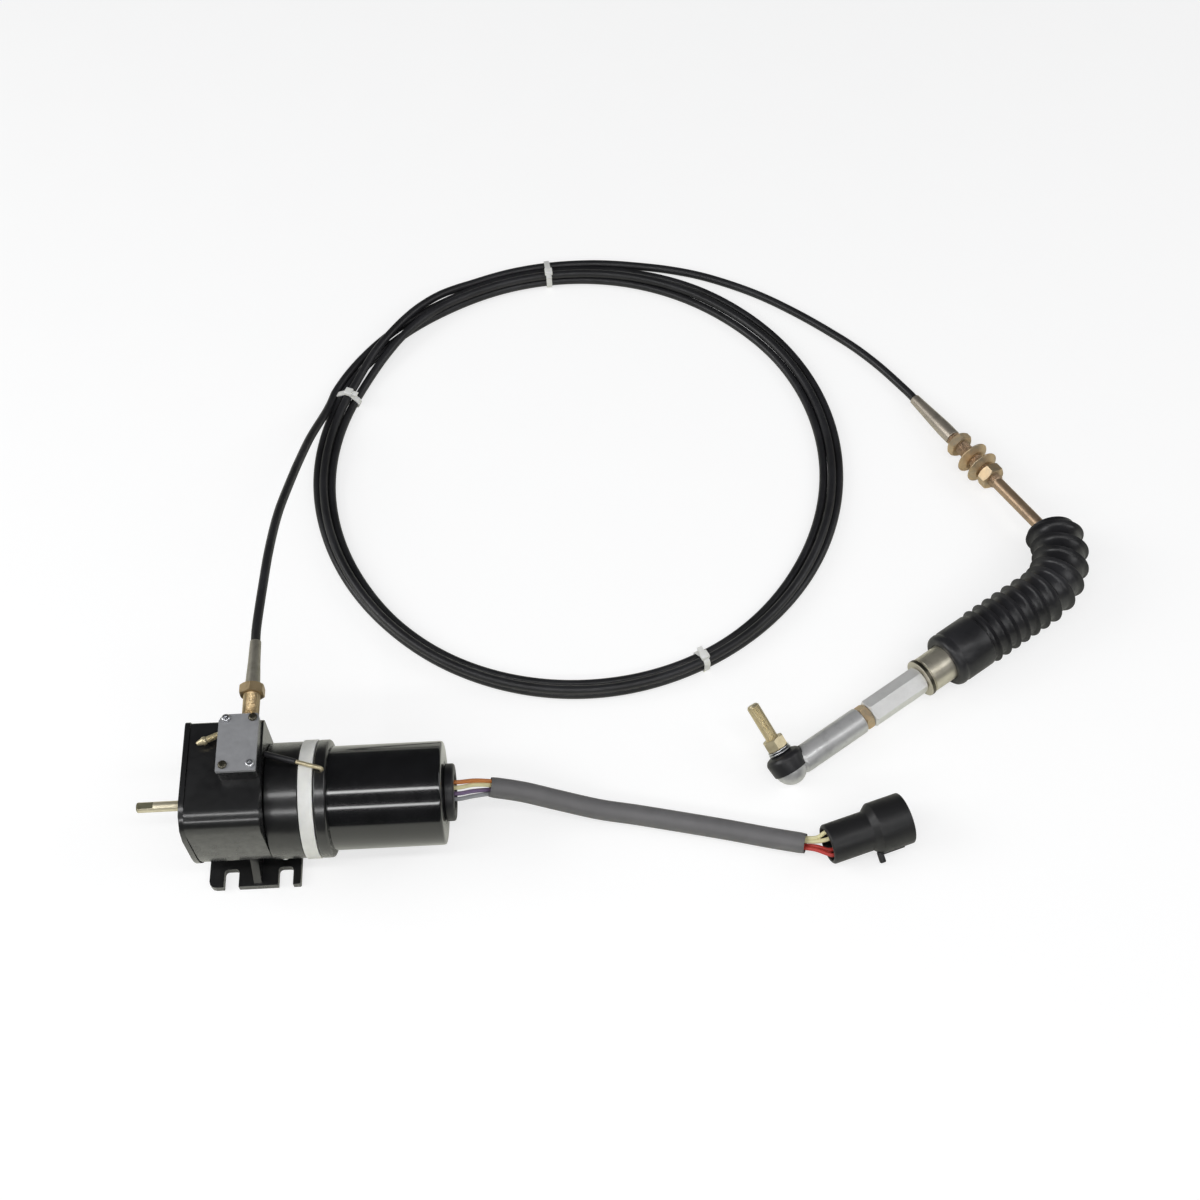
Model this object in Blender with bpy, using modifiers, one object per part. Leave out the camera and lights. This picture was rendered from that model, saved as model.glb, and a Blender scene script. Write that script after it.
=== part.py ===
"""Throttle motor: a geared motor that moves an engine's governor lever through a push-pull cable.

The motor stands on its foot with the foot's underside centred on the origin. Its shafts run along X,
the output pin towards -X and the electric lead towards +X. The cable leaves the boss on top towards +Y,
lies coiled on the surface behind the motor and ends in a bellows, a hex rod and a ball joint.
"""

import math

import bmesh
import bpy
from mathutils import Matrix, Vector

MM = 0.001
GAP = 0.3 * MM
RUNNING = 0.35 * MM

# Shaft line and casing stations along X
BARREL_OVER_SURFACE = 4.8 * MM
BARREL_RADIUS = 41.2 * MM
HOUSING_LEFT = -33 * MM
HOUSING_LENGTH = 51 * MM
HOUSING_INSET = 0.7 * MM
HOUSING_OVER_BARREL = 7.8 * MM
HOUSING_WALL = 4 * MM
HOUSING_FRONT_CORNER = 13 * MM
HOUSING_BACK_CORNER = 3 * MM
END_PLATE_THICKNESS = 4 * MM
END_PLATE_RIM = 0.8 * MM
END_PLATE_CORNER = 20 * MM
BARREL_LENGTH = 24 * MM
BARREL_WALL = 3 * MM
BARREL_FLOOR = 4 * MM
RING_LENGTH = 10 * MM
RING_STEP = 1 * MM
FLANGE_THICKNESS = 4.6 * MM
FLANGE_INSET = 0.4 * MM
CAN_LENGTH = 84 * MM
CAN_INSET = 4.9 * MM
CAN_WALL = 2 * MM
CAN_EDGE = 3.5 * MM
GROMMET_RADIUS = 20.5 * MM
GROMMET_LENGTH = 7 * MM
GROMMET_WIRE_HOLE = 4.6 * MM

# Foot
FOOT_LENGTH = 65.6 * MM
FOOT_REACH = 47 * MM
FOOT_THICKNESS = 6 * MM
SLOT_WIDTH = 10.7 * MM
SLOT_DEPTH = 13.6 * MM
SLOT_LEFT_X = -17 * MM
SLOT_RIGHT_X = 22 * MM
SLOT_CORNER = 2.6 * MM
PRONG_TIP_RADIUS = 5 * MM
RIB_X = 2.5 * MM
RIB_WIDTH = 5.5 * MM
RIB_HEIGHT = 20 * MM
PEDESTAL_HALF_WIDTH = 26 * MM
PEDESTAL_HEIGHT = 16 * MM

# Boss on top, its cover and the line of the cable's core
BOSS_LEFT = -10.5 * MM
BOSS_LENGTH = 27.5 * MM
BOSS_FRONT = -6 * MM
BOSS_BACK_INSET = 2.5 * MM
BOSS_HEIGHT = 10.5 * MM
BOSS_WALL = 2.2 * MM
BOSS_CORNER = 2.5 * MM
COVER_THICKNESS = 2.5 * MM
COVER_CHAMFER = 4.5 * MM
COVER_SCREW_RADIUS = 3.1 * MM
COVER_SCREW_HEAD = 1.8 * MM
COVER_SCREW_SHANK = 1.0 * MM
COVER_SCREW_LENGTH = 4.3 * MM
COVER_SCREW_FROM_LEFT = 4.9 * MM
COVER_SCREW_FROM_RIGHT = 4.0 * MM
COVER_SCREW_FROM_FRONT = 4.8 * MM
COVER_SCREW_FROM_BACK = 3.4 * MM
GUSSET_HEIGHT = 2.7 * MM
GUSSET_LEFT = 5.5 * MM
GUSSET_RIGHT = 3.4 * MM
GUSSET_DEPTH = 4.6 * MM
CORE_X = 9 * MM
CORE_OVER_HOUSING = 3 * MM
CORE_REST_Y = 2 * MM
CORE_ROD_RADIUS = 2.4 * MM
CORE_ROD_REACH = 60 * MM
CLEVIS_WIDTH = 10 * MM
CLEVIS_HEIGHT = 9 * MM
CLEVIS_WEB = 3 * MM
CLEVIS_WEB_OFFSET = 8 * MM
CLEVIS_NOSE = 2.5 * MM
CORE_TRAVEL_ROOM = 22 * MM
CORE_PIN_RADIUS = 2 * MM

# Cable hub, nut and ferrule behind the boss
HUB_RADIUS = 6 * MM
HUB_VISIBLE = 16.5 * MM
HUB_NUT_FLATS = 18.5 * MM
HUB_NUT_LENGTH = 15 * MM
NEAR_FERRULE_LENGTH = 35 * MM
FERRULE_WIDE = 4.9 * MM
FERRULE_NARROW = 4.4 * MM
CABLE_RADIUS = 3.5 * MM

# Gear train: two equal stages, so that the output shaft and the motor share one line
GEAR_CLEARANCE = 0.68 * MM
GEAR_TEETH = 40
PINION_TEETH = 12
PRESSURE_ANGLE = math.radians(25)
ADDENDUM = 0.9
DEDENDUM = 1.2
TOOTH_THINNING = 0.14 * MM
OUTPUT_GEAR_WIDTH = 7 * MM
FIRST_GEAR_WIDTH = 5 * MM
PINION_OVERLAP = 1 * MM
LAY_PIN_RADIUS = 2.5 * MM
OUTPUT_SHAFT_RADIUS = 5 * MM
OUTPUT_PIN_RADIUS = 3.75 * MM
OUTPUT_PIN_LENGTH = 42 * MM
OUTPUT_PIN_MILLED = 12 * MM
OUTPUT_PIN_FLAT = 2.9 * MM
BUSH_WALL = 2.2 * MM
SEAL_RADIUS = 8 * MM
SEAL_PROUD = 1.2 * MM
LEVER_THICKNESS = 4 * MM
LEVER_HUB_RADIUS = 10 * MM
LEVER_PRONG = 2.2 * MM
LEVER_SLOT_PLAY = 0.7 * MM
LEVER_SLOT_DEPTH = 3 * MM
LEVER_SLOT_ABOVE = 4.7 * MM
SENSOR_RADIUS = 17 * MM
SENSOR_LENGTH = 9 * MM

# Motor inside the can
ARMATURE_SHAFT_RADIUS = 3 * MM
ARMATURE_CLEARANCE = 3.9 * MM
ARMATURE_SLOTS = 8
ARMATURE_SLOT_WIDTH = 3 * MM
ARMATURE_SLOT_DEPTH = 5 * MM
ARMATURE_END_ROOM = 28 * MM
ARMATURE_START = 14 * MM
COMMUTATOR_RADIUS = 10 * MM
COMMUTATOR_LENGTH = 12 * MM
MAGNET_THICKNESS = 7 * MM
MAGNET_OVERHANG = 8 * MM
MAGNET_SPAN = math.radians(140)
BRUSH_RING_LENGTH = 8 * MM
BEARING_RADIUS = 8 * MM
BEARING_WIDTH = 6 * MM

# Small outer pieces beside the boss
SIDE_SCREW_FROM_LEFT = 1.85 * MM
SIDE_SCREW_FROM_BACK = 10.2 * MM
SIDE_SCREW_OVER_HOUSING = 5 * MM
SIDE_SCREW_HEADING = math.radians(202.5)
SIDE_SCREW_LENGTH = 19.4 * MM
SIDE_SCREW_CONE = 6.5 * MM
SIDE_SCREW_RADIUS = 2.4 * MM
BOND_RADIUS = 1.5 * MM
BOND_SLEEVE_RADIUS = 2.0 * MM
BOND_RISE = 2.3 * MM
BOND_START_Y = 15 * MM
BOND_END_Y = 2 * MM
BOND_SLEEVE_LENGTH = 23 * MM

# Coil of the cable on the surface
COIL_CENTRE = Vector((245.5, 311.5, 0.0)) * MM
COIL_INNER = 201 * MM
COIL_OUTER = 218.5 * MM
COIL_BOTTOM = 1.8 * MM
COIL_TOP = 15 * MM
TIE_WIDTH = 4.8 * MM
TIE_THICKNESS = 1.2 * MM
TIE_HEAD = 6 * MM
TIE_HEAD_HEIGHT = 3 * MM
TIE_ANGLES = (156.4, 94.4, -64.9)

# Far hub: its line, and places along it from the start of its ferrule
FAR_START = Vector((535.6, 365.5, 7.0)) * MM
FAR_HEADING = math.radians(-62.2)
FAR_RISE = math.radians(5.2)
FAR_FERRULE_LENGTH = 53 * MM
FAR_FERRULE_NARROW = 4.4 * MM
FAR_FERRULE_WIDE = 6.4 * MM
FAR_THREAD_RADIUS = 6 * MM
FAR_THREAD_LENGTH = 58 * MM
FAR_TUBE_RADIUS = 5 * MM
FAR_TUBE_LENGTH = 55 * MM
FAR_TUBE_IN_NECK = 4.5 * MM
FAR_BORE_DEPTH = 30 * MM
FAR_BORE = 2.8 * MM
FAR_NUT_FLATS = 19 * MM
FERRULE_NUT_START = 58 * MM
FERRULE_NUT_LENGTH = 7 * MM
FLANGE_NUT_STARTS = (75 * MM, 87.5 * MM)
FLANGE_NUT_RADIUS = 14.2 * MM
FLANGE_NUT_LENGTH = 7.5 * MM
LOCK_NUT_START = 98 * MM
LOCK_NUT_LENGTH = 9 * MM

# Bellows: its bend and its ribs
BELLOWS_LEAD_IN = 6 * MM
BELLOWS_BEND_RADIUS = 48 * MM
BELLOWS_RUN_OUT = 62.5 * MM
BELLOWS_VALLEY = 18.8 * MM
BELLOWS_PEAK = 22.4 * MM
BELLOWS_RIBS = 12
BELLOWS_NECK_RADIUS = 8.5 * MM
BELLOWS_NECK_LENGTH = 5 * MM
BELLOWS_SHOULDER = 6 * MM
BELLOWS_WALL = 1.8 * MM
CUFF_RADIUS = 21.3 * MM
CUFF_LENGTH = 34 * MM
CUFF_LIP = 2.5 * MM
CUFF_GROOVE_WIDTH = 3 * MM
CUFF_GROOVE_DEPTH = 1 * MM
CUFF_GROOVE_FROM_END = 6 * MM
INNER_CORE_RADIUS = 2.3 * MM
INNER_CORE_SOCKET = 14 * MM

# Rod end: its line, and the pieces along it
ROD_HEADING = math.radians(-147.9)
ROD_START_HEIGHT = 23.2 * MM
BALL_HEIGHT = 14 * MM
BALL_FROM_CUFF = 181.8 * MM
SLEEVE_BURIED = 26 * MM
SLEEVE_SHOULDER_RADIUS = 18.6 * MM
SLEEVE_RADIUS = 14.3 * MM
SLEEVE_VISIBLE = 23.5 * MM
SLEEVE_RING_RADIUS = 14.9 * MM
SLEEVE_RING_LENGTH = 3.5 * MM
HEX_ROD_FLATS = 19 * MM
HEX_ROD_LENGTH = 50 * MM
ROD_STUD_RADIUS = 5 * MM
ROD_STUD_LENGTH = 17 * MM
JAM_NUT_FLATS = 17 * MM
JAM_NUT_LENGTH = 7 * MM
SHANK_RADIUS = 10.3 * MM
HEAD_RADIUS = 12.4 * MM
HEAD_TOP = 6.5 * MM
BALL_RADIUS = 8 * MM
SOCKET_MOUTH = 7.1 * MM
SOCKET_FLARE = 9.6 * MM
STUD_LIFT = math.radians(30.5)
STUD_NECK_RADIUS = 4.6 * MM
STUD_HEX_START = 17.4 * MM
STUD_HEX_LENGTH = 8.5 * MM
STUD_HEX_FLATS = 17 * MM
STUD_THREAD_RADIUS = 4.85 * MM
STUD_TIP = 54.7 * MM
BOOT_RADIUS = 13.6 * MM
BOOT_TOP = 16 * MM
BOOT_NECK_RADIUS = 7 * MM
BOOT_WALL = 1.4 * MM
BOOT_WASHER_RADIUS = 8.6 * MM
BOOT_WASHER_THICKNESS = 0.8 * MM
BOOT_RING_WIRE = 0.9 * MM

# Electric lead and its connector
WIRE_EXIT_HEIGHT = 50 * MM
WIRE_BUNDLE_RADIUS = 4.2 * MM
SHEATH_RADIUS = 7.5 * MM
CONNECTOR_START = Vector((410.7, -43.9, 20.2)) * MM
CONNECTOR_HEADING = math.radians(17.1)
CONNECTOR_LENGTH = 61 * MM
CONNECTOR_REAR_RADIUS = 14.6 * MM
CONNECTOR_REAR_LENGTH = 32 * MM
CONNECTOR_STEP = 4.5 * MM
CONNECTOR_FRONT_RADIUS = 18.5 * MM
CONNECTOR_LIP_RADIUS = 19.6 * MM
CONNECTOR_LIP_LENGTH = 5 * MM
CONNECTOR_CAVITY_RADIUS = 15.8 * MM
CONNECTOR_CAVITY_DEPTH = 24 * MM
CONNECTOR_WIRE_HOLE = 6 * MM
CONNECTOR_WIRE_DEPTH = 8 * MM

# Routes of the free cords, chosen by hand, in millimetres
NEAR_CABLE_ROUTE = (
    (10.0, 139.0, 95.0),
    (10.8, 185.0, 85.0),
    (12.5, 238.0, 68.0),
    (15.4, 297.0, 47.0),
    (20.5, 347.0, 28.0),
    (27.6, 378.0, 15.5),
)
FAR_CABLE_ROUTE = (
    (313.0, 526.5, 4.6),
    (340.0, 518.5, 4.2),
    (364.5, 508.5, 4.2),
    (399.0, 492.5, 4.2),
    (449.2, 462.0, 4.2),
    (488.3, 424.8, 4.8),
    (511.0, 399.0, 5.4),
)
SHEATH_ROUTE = (
    (171.5, 8.9, 33.0),
    (195.0, 6.5, 27.0),
    (221.0, 2.5, 18.0),
    (250.0, -3.0, 11.0),
    (279.0, -8.0, 8.2),
    (336.0, -21.5, 8.2),
    (372.0, -31.5, 9.6),
    (396.5, -39.0, 13.2),
)
NEAR_TAIL_ANGLES = (158.0, 154.5, 149.0, 143.0, 137.0, 131.0, 125.0, 119.0, 113.0, 107.0, 101.0)
FAR_TAIL_ANGLES = (100.6, 96.0, 90.0, 84.5)
TAIL_SPACING = 20 * MM
LEAD_SPACING = 18 * MM
ROUTE_STEPS = 12

# Sizes and places worked out from those above
AXIS_HEIGHT = BARREL_RADIUS + BARREL_OVER_SURFACE
HOUSING_HALF_WIDTH = BARREL_RADIUS - HOUSING_INSET
HOUSING_TOP = AXIS_HEIGHT + BARREL_RADIUS + HOUSING_OVER_BARREL
CORE_HEIGHT = HOUSING_TOP + CORE_OVER_HOUSING
RING_RADIUS = BARREL_RADIUS + RING_STEP
FLANGE_RADIUS = RING_RADIUS - FLANGE_INSET
CAN_RADIUS = FLANGE_RADIUS - CAN_INSET
ARMATURE_RADIUS = CAN_RADIUS - CAN_WALL - MAGNET_THICKNESS - ARMATURE_CLEARANCE
ARMATURE_LENGTH = CAN_LENGTH - ARMATURE_START - ARMATURE_END_ROOM
MAGNET_LENGTH = ARMATURE_LENGTH + MAGNET_OVERHANG
GEAR_ROOM = BARREL_RADIUS - BARREL_WALL - GEAR_CLEARANCE
GEAR_MODULE = GEAR_ROOM / (GEAR_TEETH + PINION_TEETH / 2 + ADDENDUM)
HOUSING_RIGHT = HOUSING_LEFT + HOUSING_LENGTH
BARREL_RIGHT = HOUSING_RIGHT + BARREL_LENGTH
RING_RIGHT = BARREL_RIGHT + RING_LENGTH
FLANGE_RIGHT = RING_RIGHT + FLANGE_THICKNESS
CAN_RIGHT = FLANGE_RIGHT + CAN_LENGTH
SHAFT_LINE = Vector((0, 0, AXIS_HEIGHT))
BOSS_RIGHT = BOSS_LEFT + BOSS_LENGTH
BOSS_BACK = HOUSING_HALF_WIDTH - BOSS_BACK_INSET
BOSS_TOP = HOUSING_TOP + BOSS_HEIGHT
SIDE_SCREW_START = Vector(
    (
        BOSS_LEFT + SIDE_SCREW_FROM_LEFT,
        BOSS_BACK - SIDE_SCREW_FROM_BACK,
        HOUSING_TOP + SIDE_SCREW_OVER_HOUSING,
    )
)
LEVER_X = CORE_X
HUB_END = BOSS_BACK + HUB_VISIBLE
HUB_NUT_END = HUB_END + HUB_NUT_LENGTH
NEAR_FERRULE_END = HUB_NUT_END + NEAR_FERRULE_LENGTH
GEAR_DISTANCE = GEAR_MODULE * (GEAR_TEETH + PINION_TEETH) / 2
LAY_LINE = SHAFT_LINE - Vector((0, 0, GEAR_DISTANCE))
OUTPUT_GEAR_LEFT = HOUSING_RIGHT + BARREL_FLOOR + 3 * MM
FIRST_GEAR_RIGHT = RING_RIGHT - 2 * MM
FIRST_GEAR_LEFT = FIRST_GEAR_RIGHT - FIRST_GEAR_WIDTH
CUFF_BORE = CUFF_RADIUS - BELLOWS_WALL
COIL_BESIDE = COIL_OUTER + CABLE_RADIUS + 3 * GAP
FAR_DIRECTION = Vector(
    (
        math.cos(FAR_HEADING) * math.cos(FAR_RISE),
        math.sin(FAR_HEADING) * math.cos(FAR_RISE),
        math.sin(FAR_RISE),
    )
)
FAR_HUB_LENGTH = FAR_THREAD_LENGTH + FAR_TUBE_LENGTH
NECK_START = FAR_START + FAR_DIRECTION * (FAR_FERRULE_LENGTH + FAR_HUB_LENGTH)
X_AXIS = Vector((1, 0, 0))
Y_AXIS = Vector((0, 1, 0))
Z_AXIS = Vector((0, 0, 1))


def along(heading):
    return Vector((math.cos(heading), math.sin(heading), 0))


def right_of(heading):
    return Vector((math.sin(heading), -math.cos(heading), 0))


BEND_START = NECK_START + along(FAR_HEADING) * BELLOWS_LEAD_IN
BEND_CENTRE = BEND_START + right_of(FAR_HEADING) * BELLOWS_BEND_RADIUS
BEND_END = BEND_CENTRE - right_of(ROD_HEADING) * BELLOWS_BEND_RADIUS
ROD_START = BEND_END + along(ROD_HEADING) * BELLOWS_RUN_OUT
ROD_START.z = ROD_START_HEIGHT
ROD_DROP = math.asin((ROD_START_HEIGHT - BALL_HEIGHT) / BALL_FROM_CUFF)
ROD_DIRECTION = along(ROD_HEADING) * math.cos(ROD_DROP) - Z_AXIS * math.sin(ROD_DROP)
BALL_CENTRE = ROD_START + ROD_DIRECTION * BALL_FROM_CUFF
STUD_LEVEL = right_of(ROD_HEADING)
STUD_DIRECTION = (
    STUD_LEVEL * math.cos(STUD_LIFT)
    + STUD_LEVEL.cross(ROD_DIRECTION) * math.sin(STUD_LIFT)
)
WIRE_EXIT = Vector((CAN_RIGHT + GROMMET_LENGTH, 0, WIRE_EXIT_HEIGHT))
CONNECTOR_DIRECTION = along(CONNECTOR_HEADING)


def clear_scene():
    """Removes every object that the file opened with."""
    for obj in list(bpy.data.objects):
        bpy.data.objects.remove(obj, do_unlink=True)


def collection(name, hidden=False):
    made = bpy.data.collections.new(name)
    made.hide_render = hidden
    bpy.context.scene.collection.children.link(made)
    return made


def material(name, colour, roughness, metallic=0.0):
    """A Principled material, made once for each name."""
    if name in bpy.data.materials:
        return bpy.data.materials[name]
    made = bpy.data.materials.new(name)
    made.use_nodes = True
    shader = made.node_tree.nodes["Principled BSDF"]
    shader.inputs["Base Color"].default_value = (*colour, 1.0)
    shader.inputs["Roughness"].default_value = roughness
    shader.inputs["Metallic"].default_value = metallic
    made.diffuse_color = (*colour, 1.0)
    return made


def black_paint():
    return material("black_paint", (0.012, 0.013, 0.016), 0.3)


def black_rubber():
    return material("black_rubber", (0.03, 0.03, 0.032), 0.6)


def black_plastic():
    return material("black_plastic", (0.02, 0.02, 0.022), 0.5)


def white_plastic():
    return material("white_plastic", (0.86, 0.86, 0.84), 0.5)


def grey_sheath():
    return material("grey_sheath", (0.45, 0.45, 0.44), 0.55)


def zinc():
    return material("zinc", (0.72, 0.74, 0.76), 0.3, 1.0)


def yellow_zinc():
    return material("yellow_zinc", (0.83, 0.72, 0.5), 0.35, 1.0)


def steel():
    return material("steel", (0.55, 0.56, 0.58), 0.35, 1.0)


def bronze():
    return material("bronze", (0.6, 0.42, 0.22), 0.4, 1.0)


def copper():
    return material("copper", (0.72, 0.35, 0.2), 0.35, 1.0)


def ferrite():
    return material("ferrite", (0.1, 0.1, 0.11), 0.7)


def heading_to(direction, side=None):
    """A rotation whose local Z runs along direction and whose local X lies as near side as it can."""
    z = direction.normalized()
    side = side or (Z_AXIS if abs(z.z) < 0.9 else X_AXIS)
    x = (side - z * side.dot(z)).normalized()
    y = z.cross(x)
    return Matrix((x, y, z)).transposed().to_4x4()


def place(obj, origin, direction=Z_AXIS, side=None):
    obj.matrix_world = Matrix.Translation(origin) @ heading_to(direction, side)


def link(name, data, surface, origin, direction=Z_AXIS, side=None):
    obj = bpy.data.objects.new(name, data)
    data.materials.append(surface)
    PART.objects.link(obj)
    place(obj, origin, direction, side)
    return obj


def signed_area(points):
    return sum(
        a[0] * b[1] - b[0] * a[1] for a, b in zip(points, points[1:] + points[:1])
    ) / 2


def turned(name, profile, surface, origin, direction=Z_AXIS, steps=32, side=None):
    """A solid of revolution: profile holds (radius, height) points, and may start and end on the axis."""
    points = list(profile)
    for i in range(1, len(points) - 1):
        if points[i][0] == 0 and points[i + 1][0] == 0:
            points = points[i + 1 :] + points[: i + 1]
            break
    if signed_area(points) > 0:
        points.reverse()
    edges = [(i, i + 1) for i in range(len(points) - 1)]
    if points[0][0] > 0 or points[-1][0] > 0:
        edges.append((len(points) - 1, 0))
    mesh = bpy.data.meshes.new(name)
    mesh.from_pydata([(radius, 0, height) for radius, height in points], edges, [])
    obj = link(name, mesh, surface, origin, direction, side)
    screw = obj.modifiers.new("Turn", "SCREW")
    screw.axis = "Z"
    screw.steps = steps
    screw.render_steps = steps
    screw.use_merge_vertices = True
    screw.merge_threshold = 0.00001
    screw.use_smooth_shade = False
    return obj


def flat(name, outlines, thickness, surface, origin, direction=Z_AXIS, side=None):
    """A plate from closed outlines, the later ones being its holes. Its mid-plane passes through origin."""
    curve = bpy.data.curves.new(name, "CURVE")
    curve.dimensions = "2D"
    curve.fill_mode = "BOTH"
    curve.extrude = thickness / 2
    for outline in outlines:
        spline = curve.splines.new("POLY")
        spline.points.add(len(outline) - 1)
        for point, (x, y) in zip(spline.points, outline):
            point.co = (x, y, 0, 1)
        spline.use_cyclic_u = True
    return link(name, curve, surface, origin, direction, side)


def tube(name, points, radius, surface, roundness=2):
    """A round cord along points, capped at both ends."""
    curve = bpy.data.curves.new(name, "CURVE")
    curve.dimensions = "3D"
    curve.bevel_depth = radius
    curve.bevel_resolution = roundness
    curve.use_fill_caps = True
    spline = curve.splines.new("POLY")
    spline.points.add(len(points) - 1)
    for point, place_at in zip(spline.points, points):
        point.co = (*place_at, 1)
    return link(name, curve, surface, Vector((0, 0, 0)))


def as_mesh(obj):
    """The same object as a mesh, with a curve's caps welded to its sides."""
    bpy.context.view_layer.update()
    graph = bpy.context.evaluated_depsgraph_get()
    mesh = bpy.data.meshes.new_from_object(obj.evaluated_get(graph))
    shape = bmesh.new()
    shape.from_mesh(mesh)
    bmesh.ops.remove_doubles(shape, verts=shape.verts, dist=0.000001)
    bmesh.ops.dissolve_limit(
        shape, angle_limit=0.001, verts=shape.verts, edges=shape.edges
    )
    shape.to_mesh(mesh)
    shape.free()
    name = obj.name
    world = obj.matrix_world.copy()
    bpy.data.objects.remove(obj, do_unlink=True)
    mesh.name = name
    made = bpy.data.objects.new(name, mesh)
    PART.objects.link(made)
    made.matrix_world = world
    return made


def combine(obj, tools, operation):
    """Joins each tool to obj, or cuts it away. The tools stay in the scene as hidden helpers."""
    for tool in tools:
        PART.objects.unlink(tool)
        CUTTERS.objects.link(tool)
        tool.hide_render = True
        tool.display_type = "WIRE"
        step = obj.modifiers.new(tool.name, "BOOLEAN")
        step.operation = operation
        step.object = tool


def join(obj, *tools):
    combine(obj, tools, "UNION")


def cut(obj, *tools):
    combine(obj, tools, "DIFFERENCE")


def rod(name, radius, length, origin, direction, steps=16, surface=None):
    """A plain cylinder from origin along direction."""
    profile = [(0, length), (radius, length), (radius, 0), (0, 0)]
    return turned(name, profile, surface or steel(), origin, direction, steps)


def arc(centre_x, centre_y, radius, start, end, steps):
    return [
        (
            centre_x + radius * math.cos(start + (end - start) * i / steps),
            centre_y + radius * math.sin(start + (end - start) * i / steps),
        )
        for i in range(steps + 1)
    ]


def circle(radius, steps=16, centre_x=0.0, centre_y=0.0):
    return arc(centre_x, centre_y, radius, 0, math.tau, steps)[:-1]


def hexagon(across_flats):
    return circle(across_flats / math.sqrt(3), 6)


def rounded(corners, steps=3):
    """An outline through (x, y, radius) corners, each turned into an arc of its radius."""
    points = []
    for i, (x, y, radius) in enumerate(corners):
        if radius <= 0:
            points.append((x, y))
            continue
        corner = Vector((x, y))
        before = (Vector(corners[i - 1][:2]) - corner).normalized()
        after = (Vector(corners[(i + 1) % len(corners)][:2]) - corner).normalized()
        half = before.angle(after) / 2
        centre = corner + (before + after).normalized() * (radius / math.sin(half))
        first = corner + before * (radius / math.tan(half)) - centre
        last = corner + after * (radius / math.tan(half)) - centre
        start = math.atan2(first.y, first.x)
        sweep = (math.atan2(last.y, last.x) - start + math.pi) % math.tau - math.pi
        points += arc(centre.x, centre.y, radius, start, start + sweep, steps)
    return points


def rectangle(left, right, low, high, radius=0.0, steps=3):
    corners = ((left, low), (right, low), (right, high), (left, high))
    return rounded([(x, y, radius) for x, y in corners], steps)


def smooth(points, spacing):
    """Points at about the given spacing on a smooth curve through points."""
    ends = [points[0] * 2 - points[1], *points, points[-1] * 2 - points[-2]]
    fine = [points[0]]
    for before, a, b, after in zip(ends, ends[1:], ends[2:], ends[3:]):
        for i in range(1, ROUTE_STEPS + 1):
            t = i / ROUTE_STEPS
            fine.append(
                (
                    a * 2
                    + (b - before) * t
                    + (before * 2 - a * 5 + b * 4 - after) * t**2
                    + (a * 3 - before - b * 3 + after) * t**3
                )
                / 2
            )
    lengths = [0.0]
    for a, b in zip(fine, fine[1:]):
        lengths.append(lengths[-1] + (b - a).length)
    count = max(2, round(lengths[-1] / spacing))
    found = []
    for i in range(count + 1):
        wanted = lengths[-1] * i / count
        k = max(j for j in range(len(fine) - 1) if lengths[j] <= wanted + 1e-12)
        share = (wanted - lengths[k]) / (lengths[k + 1] - lengths[k])
        found.append(fine[k].lerp(fine[k + 1], min(share, 1.0)))
    return found


def housing_outline(inset=0.0, front_corner=HOUSING_FRONT_CORNER):
    """The casting's section across the shaft: flat on top, straight sides and a round belly."""
    half = HOUSING_HALF_WIDTH - inset
    top = HOUSING_TOP - inset
    upper = rounded(
        [
            (half, AXIS_HEIGHT, 0),
            (half, top, max(HOUSING_BACK_CORNER - inset, 1 * MM)),
            (-half, top, max(front_corner - inset, 1 * MM)),
            (-half, AXIS_HEIGHT, 0),
        ]
    )
    return upper + arc(0, AXIS_HEIGHT, half, math.pi, math.tau, 18)[1:-1]


def across_shaft(name, outlines, left, right, surface):
    """A plate across the shaft line between two places on X; its outlines hold (y, z) points."""
    origin = X_AXIS * ((left + right) / 2)
    return flat(name, outlines, right - left, surface, origin, X_AXIS, Y_AXIS)


def upright(name, outlines, low, high, surface):
    """A plate between two heights; its outlines hold (x, y) points."""
    origin = Z_AXIS * ((low + high) / 2)
    return flat(name, outlines, high - low, surface, origin, Z_AXIS, X_AXIS)


def foot_plate():
    """The foot's plate, and the shapes of the two open slots in its front and the two in its back."""
    end = FOOT_LENGTH / 2
    outline = rounded(
        [
            (end, -FOOT_REACH, 1 * MM),
            (end, FOOT_REACH, 1 * MM),
            (-end, FOOT_REACH, PRONG_TIP_RADIUS),
            (-end, -FOOT_REACH, PRONG_TIP_RADIUS),
        ]
    )
    plate = as_mesh(upright("foot_shape", [outline], 0, FOOT_THICKNESS, black_paint()))
    slots = []
    for slot_x in (SLOT_LEFT_X, SLOT_RIGHT_X):
        for side in (-1, 1):
            inner = side * (FOOT_REACH - SLOT_DEPTH)
            mouth = side * (FOOT_REACH + 2 * MM)
            slot = rounded(
                [
                    (slot_x - SLOT_WIDTH / 2, inner, SLOT_CORNER),
                    (slot_x + SLOT_WIDTH / 2, inner, SLOT_CORNER),
                    (slot_x + SLOT_WIDTH / 2, mouth, 0),
                    (slot_x - SLOT_WIDTH / 2, mouth, 0),
                ]
            )
            name = f"slot_shape_{len(slots) + 1}"
            low = -1 * MM
            high = FOOT_THICKNESS + 1 * MM
            slots.append(as_mesh(upright(name, [slot], low, high, black_paint())))
    return plate, slots


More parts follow.
